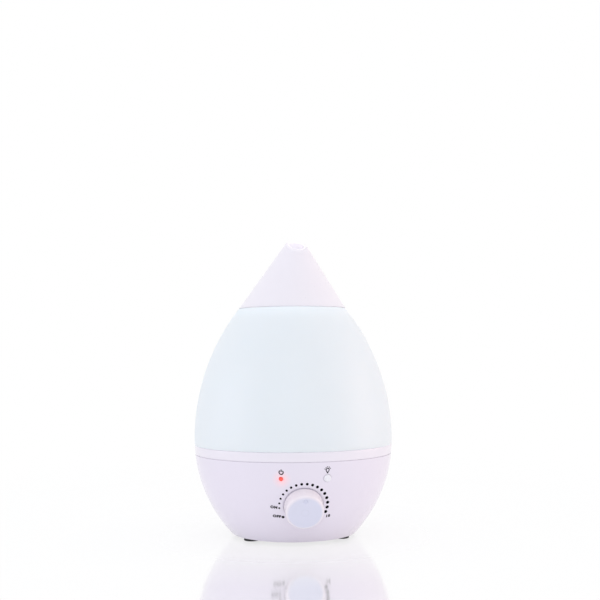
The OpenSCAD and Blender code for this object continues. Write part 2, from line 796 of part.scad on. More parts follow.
module dc_jack() {
    color("black") translate([0, pocket_y, jack_z]) rotate([-90, 0, 0]) difference() {
        union() {
            cylinder(r = jack_flange_r, h = 1.2);
            translate([0, 0, -jack_len]) cylinder(r = jack_r, h = jack_len + slack);
        }
        translate([0, 0, 1.2 - jack_bore_depth]) cylinder(r = jack_bore_r, h = 20);
    }
}

module dc_jack_pin() {
    color("silver") translate([0, pocket_y, jack_z]) rotate([-90, 0, 0]) {
        translate([0, 0, 1.2 - jack_bore_depth]) cylinder(r = jack_pin_r, h = jack_bore_depth - 0.5);
    }
}

module dc_jack_nut() {
    color("silver") translate([0, pocket_y - pocket_wall - 2, jack_z]) rotate([-90, 0, 0]) difference() {
        cylinder(r = 6, h = 2, $fn = 6);
        translate([0, 0, -over]) cylinder(r = jack_r + 0.05, h = 10);
    }
}

//// Leads

// The last two points of a lead that comes down on the driver board.
function board_end(p) = [[p[0], p[1], lead_drop_z], [p[0], p[1], driver_top_z]];

module disc_lead() {
    start = [disc_x, 2, well_bottom_z - gasket_lip - disc_t];
    color("red") lead(concat([start, start - [0, 0, 6], [disc_x - 2, 3, 26]], board_end(disc_lead_at)));
}

module fan_lead() {
    start = [tower_x - fan_side / 2, 8, fan_z + 5];
    color("black") lead(concat([start, start - [1.5, 0, 0], start + [-3, -2, 1.5]], board_end(fan_lead_at)));
}

module jack_lead() {
    start = [0, pocket_y - jack_len, jack_z];
    color("black") lead(concat([start, start - [0, 5, 0], [-5, 28, 20.5], [-9, 14, 20.5]], board_end(jack_lead_at)));
}

module light_lead() {
    start = [window_at[0], window_at[1], light_board_z];
    color("yellow") lead(concat([start, start - [0, 0, 5], [30, -33, 31], [12, -37, 25], [-6, -28, 20]],
        board_end(light_lead_at)));
}

module float_lead() {
    start = [float_at[0], float_at[1], basin_bottom_z - 2];
    color("green") lead(concat([start, start - [0, 0, 6], start + [2, -1, -17], start + [6, 2, -26]],
        board_end(float_lead_at)));
}

module panel_lead() {
    start = panel_point([0, -4, board_z - board_t]);
    color("gray") lead(concat([start, panel_point([0, -4, board_z - board_t - 4]), [-5, -44, 34], [-9, -26, 28]],
        board_end(panel_lead_at)), 1.3);
}

//// Tank

module tank_shell() {
    color("aliceblue", 0.6) rotate_extrude() {
        difference() {
            tank2(0, tank_bottom_z, tank_top_z);
            soft_edge(tank_axis_r, tank_arc_r, tank_bottom_z, tank_round, -1);
            tank2(tank_wall, tank_bottom_z - over, top_plate_z);
            band2(0, top_seat_r, top_plate_z + top_plate_t, tank_top_z + over);
            band2(0, chimney_r + chimney_wall + slack, top_plate_z - over, tank_top_z);
        }
        band2(chimney_r + chimney_wall + slack, chimney_r + chimney_wall + 2, top_plate_z - collar_h, top_plate_z + slack);
    }
}

module tank_floor() {
    color("aliceblue", 0.6) difference() {
        union() {
            rotate_extrude() {
                difference() {
                    tank2(tank_wall + slack, tank_bottom_z, tank_floor_top_z);
                    band2(0, chimney_r + chimney_wall + slack, 0, seam_z + 20);
                }
                band2(rest_ring_r - 2, rest_ring_r, tank_bottom_z - rest_ring_h, tank_bottom_z + slack);
                band2(skirt_r, skirt_r + skirt_wall, skirt_low_z, tank_bottom_z + slack);
            }
            at([0, cap_y], neck_low_z) cylinder(r = neck_r, h = tank_floor_top_z - neck_low_z - slack);
            at([0, cap_y]) for (i = [0:2]) translate([0, 0, neck_low_z + 1.5 + 2.4 * i])
                cylinder(r = neck_r + 0.35, h = 0.8);
        }
        at([0, cap_y], neck_low_z - over) cylinder(r = neck_r - neck_wall, h = 30);
    }
}

module chimney() {
    color("aliceblue", 0.6) translate([0, 0, tank_bottom_z])
        tube(chimney_r + chimney_wall, chimney_r, top_plate_z + top_plate_t - tank_bottom_z);
}

module cap_gasket() {
    color("ivory") at([0, cap_y], neck_low_z - cap_gasket_t) tube(neck_r, neck_r - neck_wall + 0.1, cap_gasket_t);
}

module tank_cap() {
    rib_count = 24;
    color("white") at([0, cap_y]) difference() {
        union() {
            translate([0, 0, cap_floor_z]) cylinder(r = cap_r - 0.5, h = cap_top_z - cap_floor_z);
            for (i = [0:rib_count - 1]) rotate([0, 0, i * 360 / rib_count])
                translate([cap_r - 1, -0.7, cap_floor_z + 1]) cube([1, 1.4, cap_top_z - cap_floor_z - 1]);
            translate([0, 0, guide_low_z]) cylinder(r = stem_r + 1.8, h = cap_floor_z - guide_low_z + slack);
        }
        translate([0, 0, cap_floor_top_z]) cylinder(r = cap_r - cap_wall, h = 30);
        translate([0, 0, guide_low_z - over]) cylinder(r = stem_r + 0.3, h = 30);
        difference() {
            translate([0, 0, cap_floor_z - slack]) tube(seal_r - 1.4, stem_r + 2, cap_floor_t + 2 * slack);
            for (a = [0, 60, 120]) rotate([0, 0, a]) translate([-10, -0.9, 0]) cube([20, 1.8, 100]);
        }
    }
}

module valve_stem() {
    color("white") at([0, cap_y]) {
        translate([0, 0, push_z]) cylinder(r = push_r, h = push_t);
        translate([0, 0, push_z]) cylinder(r = stem_r, h = seal_z + seal_t + 1.4 - push_z);
        translate([0, 0, seal_z + seal_t]) cylinder(r = stem_r + 1, h = 1.4);
    }
}

module valve_seal() {
    color("ivory") at([0, cap_y], seal_z) tube(seal_r, stem_r + 0.05, seal_t);
}

module valve_spring() {
    wire = 0.35;
    turns = 3;
    z0 = push_z + push_t + wire;
    rise = guide_low_z - wire - z0;
    color("silver") at([0, cap_y]) lead([for (i = [0:6 * turns])
        [2.9 * cos(60 * i), 2.9 * sin(60 * i), z0 + rise * i / (6 * turns)]], wire);
}

//// Nozzle

// One level of the cone that leans towards -Y, at a height above its base.
module cone_level(inset, height) {
    translate([0, -cone_lean * height, height])
        cylinder(r = nozzle_base_r - inset - cone_slope * height, h = 0.01);
}

module leaning_cone(inset, start = 0) {
    hull() {
        cone_level(inset, start);
        cone_level(inset, cone_h);
    }
}

module nozzle_cone() {
    cut = 4 * mouth_r;
    color("white") rotate([0, 0, nozzle_yaw]) difference() {
        union() {
            translate([0, 0, nozzle_z]) leaning_cone(0);
            translate([0, 0, nozzle_z - nozzle_skirt_h])
                cylinder(r = nozzle_skirt_r, h = nozzle_skirt_h + slack);
        }
        translate([0, 0, nozzle_z]) leaning_cone(nozzle_wall * 1.2, nozzle_shoulder_t);
        translate([0, 0, nozzle_z - nozzle_skirt_h - over]) cylinder(
            r = nozzle_skirt_r - nozzle_skirt_w,
            h = nozzle_skirt_h + over + nozzle_shoulder_t + slack
        );
        translate([0, -mouth_lean, mouth_z]) rotate([mouth_slope, 0, 0])
            translate([-cut / 2, -cut / 2, 0]) cube(cut);
    }
}

module mist_guide() {
    color("white") translate([0, 0, guide_z]) difference() {
        union() {
            cylinder(r = guide_flange_r, h = guide_flange_t);
            translate([0, 0, guide_flange_t - slack])
                cylinder(r1 = guide_flange_r - 6, r2 = guide_tube_r + guide_wall, h = guide_top_z - guide_z - 6);
            translate([0, 0, guide_top_z - guide_z - 6]) cylinder(r = guide_tube_r + guide_wall, h = 6);
        }
        translate([0, 0, guide_flange_t])
            cylinder(r1 = guide_flange_r - 6 - 1.8, r2 = guide_tube_r, h = guide_top_z - guide_z - 6);
        translate([0, 0, -over]) cylinder(r = guide_flange_r - 7.8, h = guide_flange_t + over + slack);
        translate([0, 0, 10]) cylinder(r = guide_tube_r, h = 60);
        around([0:45:315], guide_flange_r - 3.5, -over) cylinder(r = 1.5, h = 10);
    }
}

base_shell();
bottom_cover();
rubber_feet();
cover_screws();
basin();
basin_screws();
air_duct();
fan_frame();
fan_rotor();
fan_screws();
ultrasonic_disc();
disc_gasket();
disc_bracket();
bracket_screws();
driver_board();
heat_sink();
power_transistor();
board_capacitors();
board_coil();
board_screws();
control_board();
control_pot();
pot_nut();
control_shaft();
knob();
power_lamp();
light_switch();
switch_plunger();
light_button();
dc_jack();
dc_jack_pin();
dc_jack_nut();
float_ring();
float_clip();
reed_switch();
light_window();
window_gasket();
light_board();
light_chips();
disc_lead();
fan_lead();
jack_lead();
light_lead();
float_lead();
panel_lead();
tank_shell();
tank_floor();
chimney();
cap_gasket();
tank_cap();
valve_stem();
valve_seal();
valve_spring();
mist_guide();
nozzle_cone();
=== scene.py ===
"""Cool mist humidifier: outer skins, printed dial, moulded finishes and a plain studio."""

import json
import math

import bmesh
import bpy
from bpy.props import FloatProperty, FloatVectorProperty, IntProperty, PointerProperty
from mathutils import Matrix, Vector


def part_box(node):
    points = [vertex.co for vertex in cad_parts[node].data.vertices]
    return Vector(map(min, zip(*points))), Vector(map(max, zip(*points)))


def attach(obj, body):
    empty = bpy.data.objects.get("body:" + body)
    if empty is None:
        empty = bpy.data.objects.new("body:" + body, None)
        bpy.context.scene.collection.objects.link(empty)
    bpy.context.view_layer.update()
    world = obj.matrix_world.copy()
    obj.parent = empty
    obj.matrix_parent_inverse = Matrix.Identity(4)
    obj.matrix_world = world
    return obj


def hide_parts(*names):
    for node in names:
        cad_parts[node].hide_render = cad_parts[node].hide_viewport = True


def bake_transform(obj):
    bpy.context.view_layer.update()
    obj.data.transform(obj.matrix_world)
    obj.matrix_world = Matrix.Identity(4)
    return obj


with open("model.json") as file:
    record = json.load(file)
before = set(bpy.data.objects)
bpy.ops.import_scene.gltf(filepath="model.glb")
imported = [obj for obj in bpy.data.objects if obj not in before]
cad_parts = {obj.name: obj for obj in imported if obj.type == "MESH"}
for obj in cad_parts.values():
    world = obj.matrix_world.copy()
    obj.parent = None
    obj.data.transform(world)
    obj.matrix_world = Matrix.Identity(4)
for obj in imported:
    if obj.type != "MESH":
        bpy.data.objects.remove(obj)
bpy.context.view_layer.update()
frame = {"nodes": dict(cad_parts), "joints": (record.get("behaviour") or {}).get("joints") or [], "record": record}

bl_info = {
    "name": "Cool Mist Humidifier",
    "version": (1, 0, 0),
    "blender": (4, 5, 0),
    "location": "3D View > Sidebar > Humidifier",
    "description": "Builds the outer skins, marks, finishes and studio of a drop-shaped humidifier",
    "category": "Add Mesh",
}

MM = 0.001
WHITE = (1.0, 1.0, 1.0, 1.0)
BLACK = (0.0, 0.0, 0.0, 1.0)


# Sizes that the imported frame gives

def low(node):
    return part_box(node)[0]


def high(node):
    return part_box(node)[1]


def named(rows, name, key="name"):
    return next(row for row in rows if row[key] == name)


def side_r(arc, z, inset=0.0):
    """Radius of the body at a height, where its side is an arc of this radius."""
    return BODY_R - arc + math.sqrt((arc - inset) ** 2 - (BELLY_Z - z) ** 2)


BODY_R = high("tank_shell").x
BELLY_Z = 83 * MM
BASE_ARC = 117 * MM
TANK_ARC = 182 * MM
SEAM_REACH = 0.22 * MM
FOOT_Z = low("bottom_cover").z
SHELL_TOP = high("base_shell").z + SEAM_REACH
TANK_LOW = low("tank_shell").z - SEAM_REACH
TANK_TOP = high("tank_shell").z
RIM_R = side_r(TANK_ARC, TANK_TOP)
SEAT_R = RIM_R - 4 * MM
NOZZLE_Z = TANK_TOP + 0.3 * MM
MOUTH_R = 8.6 * MM


def panel_matrix():
    """The control panel's frame: x to the right, y up along the shell, z straight out."""
    turn = named(frame["joints"], "knob_turn")
    out = -Vector(turn["axis"]).normalized()
    right = Vector((1, 0, 0))
    turned_in = Matrix((right, out.cross(right), out)).transposed().to_4x4()
    return Matrix.Translation(turn["pos_m"]) @ turned_in


PANEL = panel_matrix()
PANEL_INV = PANEL.inverted()
OUT = PANEL.to_3x3() @ Vector((0, 0, 1))


def nozzle_cone():
    """The nozzle's leaning cone, from the outlet that the record names: its radius at the foot, its height,
    how much it narrows, leans and is turned about Z, and the slope of its mouth."""
    outlet = named(frame["record"]["mounts"], "mist_outlet")
    x, y, z = outlet["pos_m"]
    height, base = z - NOZZLE_Z, RIM_R - 0.2 * MM
    slope, lean, tilt = (base - MOUTH_R) / height, math.hypot(x, y) / height, math.acos(outlet["axis"][2])
    return base, height, slope, lean, math.atan2(x, -y), math.tan(tilt)


def panel_box(node):
    """A CAD node's box in the panel's frame."""
    spots = [PANEL_INV @ v.co for v in frame["nodes"][node].data.vertices]
    return (Vector(map(min, zip(*spots))), Vector(map(max, zip(*spots))))


def panel_mid(node):
    return sum(panel_box(node), Vector()) / 2


def panel_drop(x, y):
    """Height of the shell's face over the panel plane at a point, which is below zero off the axis."""
    z = 0.0
    for _ in range(12):
        p = PANEL @ Vector((x, y, z))
        z -= math.hypot(p.x, p.y) - side_r(BASE_ARC, p.z)
    return z


# User sizes and colours

def setting(make, **fixed):
    """A maker of properties that share a unit."""
    def labelled(name, text, default, **more):
        return make(name=name, description=text, default=default, **fixed, **more)
    return labelled


count = setting(IntProperty)
number = setting(FloatProperty)
length = setting(FloatProperty, unit="LENGTH", precision=5)
angle = setting(FloatProperty, subtype="ANGLE")
power = setting(FloatProperty, unit="POWER")
share = setting(FloatProperty, subtype="FACTOR", min=0, max=1)
colour = setting(FloatVectorProperty, subtype="COLOR", size=3, min=0, max=1)


class SkinSizes(bpy.types.PropertyGroup):
    segments: count("Segments", "Faces around the body", 192, min=48)
    wall: length("Wall", "Wall of the lower shell", 2.5 * MM)
    tank_wall: length("Tank wall", "Wall of the tank", 2.2 * MM)
    seam_round: length("Seam rounding", "Rounding of the lower shell's top edge", 0.12 * MM)
    tank_round: length("Tank rounding", "Rounding of the tank's lower edge", 0.15 * MM)
    key_round: length("Key lip rounding", "Rounding round the lamp's and the button's holes", 0.35 * MM)
    knob_taper: length("Knob taper", "How much the knob narrows towards its face", 0.6 * MM)
    knob_round: length("Knob rounding", "Rounding of the knob's front edge", 2.2 * MM)
    knob_dish: length("Knob dish", "Depth of the knob's dished face", 0.45 * MM)
    nozzle_wall: length("Nozzle wall", "Wall of the nozzle", 2.64 * MM)
    foot_round: length("Foot rounding", "Rounding of a foot's edge", 0.7 * MM)


class DialSizes(bpy.types.PropertyGroup):
    ring_radius: length("Ring radius", "Radius of the ring of dots about the knob", 19.35 * MM)
    dots: count("Dots", "Dots of the running range", 17, min=2)
    off_angle: angle("Off angle", "Angle of the first dot, clockwise from the top", math.radians(-124.6))
    on_angle: angle("On angle", "Angle of the lowest running dot", math.radians(-98))
    full_angle: angle("Full angle", "Angle of the last dot", math.radians(111))
    off_dot: length("Off dot", "Diameter of the first dot", 2.4 * MM)
    small_dot: length("Small dot", "Diameter of the lowest running dot", 1.6 * MM)
    large_dot: length("Large dot", "Diameter of the last dot", 2.9 * MM)
    letter: length("Letter height", "Height of the dial's letters", 2.3 * MM)
    line: length("Line width", "Width of the pictograms' lines", 0.8 * MM)
    ink: length("Ink thickness", "Thickness of the print", 0.04 * MM)


class Finishes(bpy.types.PropertyGroup):
    shell: colour("Shell", "Glossy plastic of the base", (0.84, 0.80, 0.88))
    band: colour("Band", "Glossy plastic of the basin and its band", (0.87, 0.84, 0.895))
    tank: colour("Tank", "Frosted plastic of the tank", (0.868, 0.958, 0.99))
    nozzle: colour("Nozzle", "Satin plastic of the nozzle", (0.89, 0.865, 0.91))
    knob: colour("Knob", "Glossy plastic of the knob's face", (0.73, 0.745, 0.865))
    # Painted light: the knob side's lighter, pinker tone stands in for the light its rounded rim catches.
    knob_side: colour("Knob side", "Pearly plastic of the knob's side", (0.9, 0.84, 0.88))
    button: colour("Button", "Glossy plastic of the light button", (0.9, 0.9, 0.93))
    lamp: colour("Lamp", "Lens of the power lamp", (0.75, 0.06, 0.04))
    glow: colour("Glow", "Light inside the power lamp", (1.0, 0.1, 0.06))
    halo: colour("Halo", "Glow that the lamp throws on the shell", (1.0, 0.5, 0.5))
    ink: colour("Ink", "Print on the dial", (0.002, 0.002, 0.003))
    rubber: colour("Rubber", "Feet", (0.018, 0.018, 0.02))


class StageSizes(bpy.types.PropertyGroup):
    distance: length("Distance", "Distance of the camera from the body's axis", 0.858)
    eye: length("Eye height", "Height of the camera over the floor", 0.1545)
    side: angle("Side", "Angle of the camera to the left of the front", math.radians(6.1))
    roll: angle("Roll", "Roll of the camera", math.radians(0.45))
    lens: number("Lens", "Focal length", 59.4, unit="CAMERA")
    shift_x: number("Shift X", "Sideways shift of the lens", 0.0125)
    shift_y: number("Shift Y", "Upward shift of the lens", 0.0933)
    sky: colour("Sky", "Light that comes from all round", (0.727, 0.727, 0.765))
    front: power("Front light", "Power of the soft light in front", 3.1)
    left: power("Left light", "Power of the soft light on the left", 3.3)
    right: power("Right light", "Power of the soft light on the right", 4.95)
    top: power("Top light", "Power of the soft light overhead", 4.0)
    mirror: share("Floor gloss", "Share of the floor's mirror image in front", 0.75)
    mirror_near: share("Near gloss", "Share of the mirror image at the object's foot", 0.12)


# Node graphs

def maths(operation):
    """A method that adds a Math node with this operation."""
    def add(*values):
        graph = next(v.graph for v in values if isinstance(v, Value))
        return graph.node("Math", {"operation": operation}, values)[0]
    return add


class Value:
    """An output socket. Arithmetic on it adds Math nodes."""

    def __init__(self, graph, socket):
        self.graph = graph
        self.socket = socket

    __add__ = __radd__ = maths("ADD")
    __sub__ = maths("SUBTRACT")
    __mul__ = __rmul__ = maths("MULTIPLY")
    __truediv__ = maths("DIVIDE")
    __pow__ = maths("POWER")
    __abs__ = maths("ABSOLUTE")
    sine = maths("SINE")
    cosine = maths("COSINE")
    fraction = maths("FRACT")
    above = maths("GREATER_THAN")
    below = maths("LESS_THAN")
    at_least = maths("MAXIMUM")
    at_most = maths("MINIMUM")

    def __rsub__(self, other):
        return maths("SUBTRACT")(other, self)

    def clamped(self):
        return self.at_least(0.0).at_most(1.0)


class Graph:
    """Adds nodes to a tree. Inputs are given in order, or by socket name with _ for a space."""

    def __init__(self, tree):
        self.tree = tree

    def put(self, socket, value):
        if isinstance(value, Value):
            self.tree.links.new(value.socket, socket)
        else:
            socket.default_value = value

    def node(self, kind, settings=None, inputs=(), **by_name):
        node = self.tree.nodes.new(kind if "Node" in kind else "ShaderNode" + kind)
        for name, value in (settings or {}).items():
            setattr(node, name, value)
        pairs = inputs.items() if isinstance(inputs, dict) else enumerate(inputs)
        for key, value in [*pairs, *((name.replace("_", " "), value) for name, value in by_name.items())]:
            self.put(node.inputs[key], value)
        return [Value(self, s) for s in node.outputs]

    def geo(self, kind, settings=None, **by_name):
        """The first output of a geometry node."""
        return self.node("GeometryNode" + kind, settings, **by_name)[0]

    def outlets(self, kind, **by_name):
        """A node's outputs by name."""
        return {v.socket.name: v for v in self.node(kind, **by_name)}

    def mix(self, factor, a, b):
        return self.node("Mix", {"data_type": "RGBA"}, {0: factor, 6: a, 7: b})[2]

    def vector(self, operation, *values):
        outputs = self.node("VectorMath", {"operation": operation}, values)
        return outputs[1 if operation in ("LENGTH", "DISTANCE", "DOT_PRODUCT") else 0]

    def xyz(self, *parts):
        return self.node("CombineXYZ", None, parts)[0]

    def scaled(self, vector, amount):
        return self.node("VectorMath", {"operation": "SCALE"}, [vector], Scale=amount)[0]


def shader_graph(block):
    """The emptied shader graph of a material or a world."""
    block.use_nodes = True
    block.node_tree.nodes.clear()
    return Graph(block.node_tree)


class Finish(Graph):
    """A material with one Principled shader."""

    def __init__(self, name="finish"):
        self.material = bpy.data.materials.new(name)
        super().__init__(shader_graph(self.material).tree)
        self.shader = self.tree.nodes.new("ShaderNodeBsdfPrincipled")
        self.node("OutputMaterial", Surface=Value(self, self.shader.outputs[0]))
        self.place = self.outlets("TexCoord")["Object"]

    def set(self, **sockets):
        for key, value in sockets.items():
            self.put(self.shader.inputs[key.replace("_", " ")], value)
        return self

    def tint(self, factor, tone):
        """Mixes a colour over the base colour set so far."""
        under = Value(self, self.shader.inputs["Base Color"].links[0].from_socket)
        return self.set(Base_Color=self.mix(factor, under, tone))

    def lit(self, factor, tone, strength):
        """Light of its own, where the factor is above zero."""
        return self.set(Emission_Color=self.mix(factor, BLACK, rgba(tone)), Emission_Strength=strength)

    def noise(self, scale, detail=2.0, rough=0.5, place=None):
        place = place or self.place
        return self.node("TexNoise", Vector=place, Scale=scale, Detail=detail, Roughness=rough)[0]

    def bump(self, height, depth):
        return self.set(Normal=self.node("Bump", Distance=depth, Height=height)[0])

    def axes(self):
        return self.node("SeparateXYZ", None, [self.place])

    def from_panel(self):
        return self.vector("SUBTRACT", self.place, tuple(PANEL.translation))


def rgba(tone, gain=1.0):
    return (*(min(part * gain, 1.0) for part in tone[:3]), 1.0)


def moulded(tone, rough, grain=900.0, depth=0.004 * MM, spread=0.05, flow=0.985, coat=0.0, name="finish"):
    """Moulded plastic: faint flow clouds in the colour, a fine grain and uneven gloss."""
    f = Finish(name)
    cloud = f.noise(28.0, 3.0, 0.55)
    f.set(Base_Color=f.mix(cloud, rgba(tone, flow), rgba(tone, 2 - flow)))
    f.set(Roughness=f.noise(160.0) * (2 * spread) + (rough - spread))
    f.set(Coat_Weight=coat, Coat_Roughness=0.08)
    return f.bump(f.noise(grain, 3.0, 0.6), depth)


def metal(tone, rough, stretch=(1.0, 1.0, 14.0), grain=260.0, depth=0.006 * MM):
    """Drawn or rolled metal: fine lines along one direction and uneven gloss."""
    f = Finish()
    turned_place = f.node("Mapping", Vector=f.place, Scale=stretch)[0]
    lines = f.noise(grain, 4.0, 0.65, turned_place)
    f.set(Base_Color=f.mix(lines, rgba(tone, 0.86), rgba(tone, 1.08)), Metallic=1.0)
    f.set(Roughness=lines * 0.22 + (rough - 0.11))
    return f.bump(lines, depth)


# Finishes by material slot

def shell_finish(tones):
    """The base's plastic, with a painted glow round the lamp: a pink tint in its colour and light of its own, in
    place of the light the lamp throws round itself.
    """
    f = moulded(tones.shell, 0.24, coat=0.25)
    halo_r, fall, painted_glow_tint, strength = 9 * MM, 1.6, 0.75, 0.25
    centre = panel_mid("power_lamp")
    centre.z = panel_box("power_lamp")[1].z
    glow = (1.0 - f.vector("DISTANCE", f.place, tuple(PANEL @ centre)) / halo_r).clamped() ** fall
    # Painted light: the lamp's glow is tinted into the shell's colour and given off as the shell's own light.
    return f.tint(glow * painted_glow_tint, rgba(tones.halo)).lit(glow, tones.halo, strength)


def frosted_finish(tone):
    """Frosted tank plastic: a milky body under a fine etched skin."""
    return moulded(tone, 0.38, 1500.0, 0.006 * MM, 0.04, 0.99).set(
        Subsurface_Weight=0.35, Subsurface_Radius=(0.9, 1.0, 1.1), Subsurface_Scale=6 * MM)


def nozzle_finish(tones):
    """The nozzle's plastic, whose inner wall is given light of its own: painted light in place of the daylight
    that comes through the wall.
    """
    f = moulded(tones.nozzle, 0.3, coat=0.15)
    base, _, slope, lean, yaw, _ = nozzle_cone()
    x, y, z = f.axes()
    rise = z - NOZZLE_Z
    dx, dy = x - rise * (lean * math.sin(yaw)), y + rise * (lean * math.cos(yaw))
    reach = (dx * dx + dy * dy) ** 0.5
    depth, fade = 1.2 * MM, 0.6 * MM
    mid_wall = rise * -slope + (base - depth)
    # Painted light: the inner wall glows in its own colour, standing in for daylight coming through it.
    f.lit(((mid_wall - reach) / fade).clamped(), tones.nozzle, 0.3)
    return f.set(Subsurface_Weight=0.25, Subsurface_Radius=(1.0, 1.0, 1.0), Subsurface_Scale=6 * MM)


def knob_finish(tones):
    """The knob's plastic: a side tinted lighter and pinker as painted light, and a faint round sink mark on the
    face's middle, bumped in and tinted darker as painted shade.
    """
    f = moulded(tones.knob, 0.2, coat=0.3)
    sink_r, sink_w, face_r, fade = 2.9 * MM, 0.5 * MM, 12.6 * MM, 2.2 * MM
    reach = f.vector("LENGTH", f.vector("CROSS_PRODUCT", f.from_panel(), tuple(OUT)))
    # Painted shade: besides its bump, the sink mark's ring is tinted darker.
    mark = (1.0 - abs(reach - sink_r) / sink_w).clamped()
    # Painted light: outside the face, the side is tinted lighter and pinker.
    f.tint(mark * 0.2, rgba(tones.knob, 0.8)).tint(((reach - face_r) / fade).clamped(), rgba(tones.knob_side))
    return f.bump(f.noise(900.0, 3.0, 0.6) * 0.1 - mark, 0.05 * MM)


def lamp_finish(tones):
    """The lamp's lens, which glows at its tip."""
    f = moulded(tones.lamp, 0.18, coat=0.4)
    tip, glow_h = panel_box("power_lamp")[1].z, 3 * MM
    height = f.vector("DOT_PRODUCT", f.from_panel(), tuple(OUT))
    return f.lit(((height - tip + glow_h) / glow_h).clamped(), tones.glow, 0.5)


def ink_finish(tones):
    return moulded(tones.ink, 0.6, 1400.0, 0.003 * MM, 0.1, 0.8, name="dial_ink").set(Specular_IOR_Level=0.05)


def rubber_finish(tone, rough=0.72):
    return moulded(tone, rough, 1800.0, 0.02 * MM, 0.08, 0.8).set(Sheen_Weight=0.15, Sheen_Roughness=0.5)


def board_finish(tone):
    """Solder mask with copper tracks that show through as paler lines, and tinned spots."""
    f = Finish()
    tracks, gap, spot_r = 420.0, 0.62, 0.16
    x, y, z = f.axes()
    block = f.node("TexVoronoi", {"distance": "MANHATTAN"}, Vector=f.place, Scale=210.0, Randomness=0.55)[0]
    line = ((x + y + z) * tracks + block * 2.0).fraction().above(gap)
    spot = block.below(spot_r)
    mask = f.mix(line, rgba(tone), rgba(tone, 1.9))
    f.set(Base_Color=f.mix(spot, mask, (0.62, 0.6, 0.55, 1.0)), Metallic=spot * 0.9)
    f.set(Roughness=f.noise(300.0) * 0.16 + 0.22, Coat_Weight=0.3)
    return f.bump(line * 0.4 + spot, 0.03 * MM)


def coil_finish(tone):
    """Enamelled copper wire wound round a ring."""
    f = metal(tone, 0.3, (1.0, 1.0, 1.0))
    wire = f.node("TexWave", {"bands_direction": "DIAGONAL"}, Vector=f.place, Scale=420.0, Distortion=1.5)[0]
    return f.set(Base_Color=f.mix(wire, rgba(tone, 0.45), rgba(tone, 1.15))).bump(wire, 0.25 * MM)


def sleeve_finish(tone):
    """A capacitor's shrunk sleeve with its pale polarity stripe."""
    f = moulded(tone, 0.32, coat=0.4)
    pitch, gap = 330.0, 0.8
    stripe = (f.axes()[0] * pitch).fraction().above(gap)
    return f.set(Base_Color=f.mix(stripe, rgba(tone), (0.55, 0.57, 0.6, 1.0)))


def foam_finish(tone):
    """Closed-cell foam of the float."""
    f = Finish()
    cells = f.node("TexVoronoi", Vector=f.place, Scale=1500.0)[0]
    f.set(Base_Color=f.mix(cells, rgba(tone, 0.82), rgba(tone, 1.05)), Roughness=cells * 0.1 + 0.8)
    return f.bump(cells, 0.12 * MM)


def ceramic_finish(tone):
    """The piezo disc: a nickelled face inside a paler ceramic rim."""
    f = metal(tone, 0.3, (1.0, 1.0, 1.0), 700.0)
    lo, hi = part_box("ultrasonic_disc")
    rim = f.vector("DISTANCE", f.place, tuple((lo + hi) / 2)).above((hi.x - lo.x) * 0.44)
    return f.tint(rim, (0.85, 0.83, 0.78, 1.0)).set(Metallic=1.0 - rim)


def slot_finish(slot, tone, tones):
    """The finish of a record slot, in the slot's own colour unless the user sets it. Leads are the rest."""
    make = {
        "white_shell": lambda: shell_finish(tones),
        "band_plastic": lambda: moulded(tones.band, 0.22, coat=0.3),
        "inner_plastic": lambda: moulded(tone, 0.42, 700.0, 0.012 * MM),
        "tank_plastic": lambda: frosted_finish(tones.tank),
        "nozzle_plastic": lambda: nozzle_finish(tones),
        "knob_plastic": lambda: knob_finish(tones),
        "button_plastic": lambda: moulded(tones.button, 0.2, coat=0.3),
        "lamp_red": lambda: lamp_finish(tones),
        "black_rubber": lambda: rubber_finish(tones.rubber),
        "pale_rubber": lambda: rubber_finish(tone, 0.5),
        "screw_steel": lambda: metal(tone, 0.3, (1.0, 1.0, 5.0)),
        "bracket_steel": lambda: metal(tone, 0.36),
        "sink_aluminium": lambda: metal(tone, 0.38),
        "contact_brass": lambda: metal(tone, 0.24, (1.0, 8.0, 1.0)),
        "board_green": lambda: board_finish(tone),
        "coil_copper": lambda: coil_finish(tone),
        "capacitor_sleeve": lambda: sleeve_finish(tone),
        "disc_ceramic": lambda: ceramic_finish(tone),
        "window_clear": lambda: moulded(tone, 0.08, 600.0, 0.002 * MM, 0.03).set(
            Transmission_Weight=0.85, IOR=1.49),
        "float_foam": lambda: foam_finish(tone),
        "black_plastic": lambda: moulded(tone, 0.48, 800.0, 0.02 * MM, 0.06, 0.8),
        "fan_plastic": lambda: moulded(tone, 0.55, 800.0, 0.02 * MM, 0.06, 0.8),
        "chip_yellow": lambda: moulded(tone, 0.3, 500.0, 0.01 * MM, coat=0.3),
    }.get(slot, lambda: moulded(tone, 0.4, 1200.0, 0.01 * MM, 0.08, 0.85, 0.2))
    return make().material


def finish_for(slot):
    """The slot's material, made the first time it is asked for."""
    key = f"slot_{slot}"
    if key in bpy.data.materials:
        return bpy.data.materials[key]
    entry = named(frame["record"]["materials"], slot, "slot")
    material = slot_finish(slot, entry["base_color"][:3], bpy.context.scene.mist_finishes)
    material.name = key
    return material


# Mesh helpers

def linked(name, mesh=None):
    obj = bpy.data.objects.new(name, mesh or bpy.data.meshes.new(name))
    bpy.context.scene.collection.objects.link(obj)
    return obj


def from_bmesh(name, bm):
    """An object from a finished bmesh, with its faces turned outwards."""
    bmesh.ops.recalc_face_normals(bm, faces=bm.faces[:])
    mesh = bpy.data.meshes.new(name)
    bm.to_mesh(mesh)
    bm.free()
    return linked(name, mesh)


def plain_mesh(obj):
    """The object's mesh as its modifiers leave it."""
    graph = bpy.context.evaluated_depsgraph_get()
    return bpy.data.meshes.new_from_object(obj.evaluated_get(graph), depsgraph=graph)


def baked(obj):
    """Turns an object with modifiers into a plain mesh."""
    mesh = plain_mesh(obj)
    mesh.name = obj.name
    obj.modifiers.clear()
    obj.data = mesh
    return obj


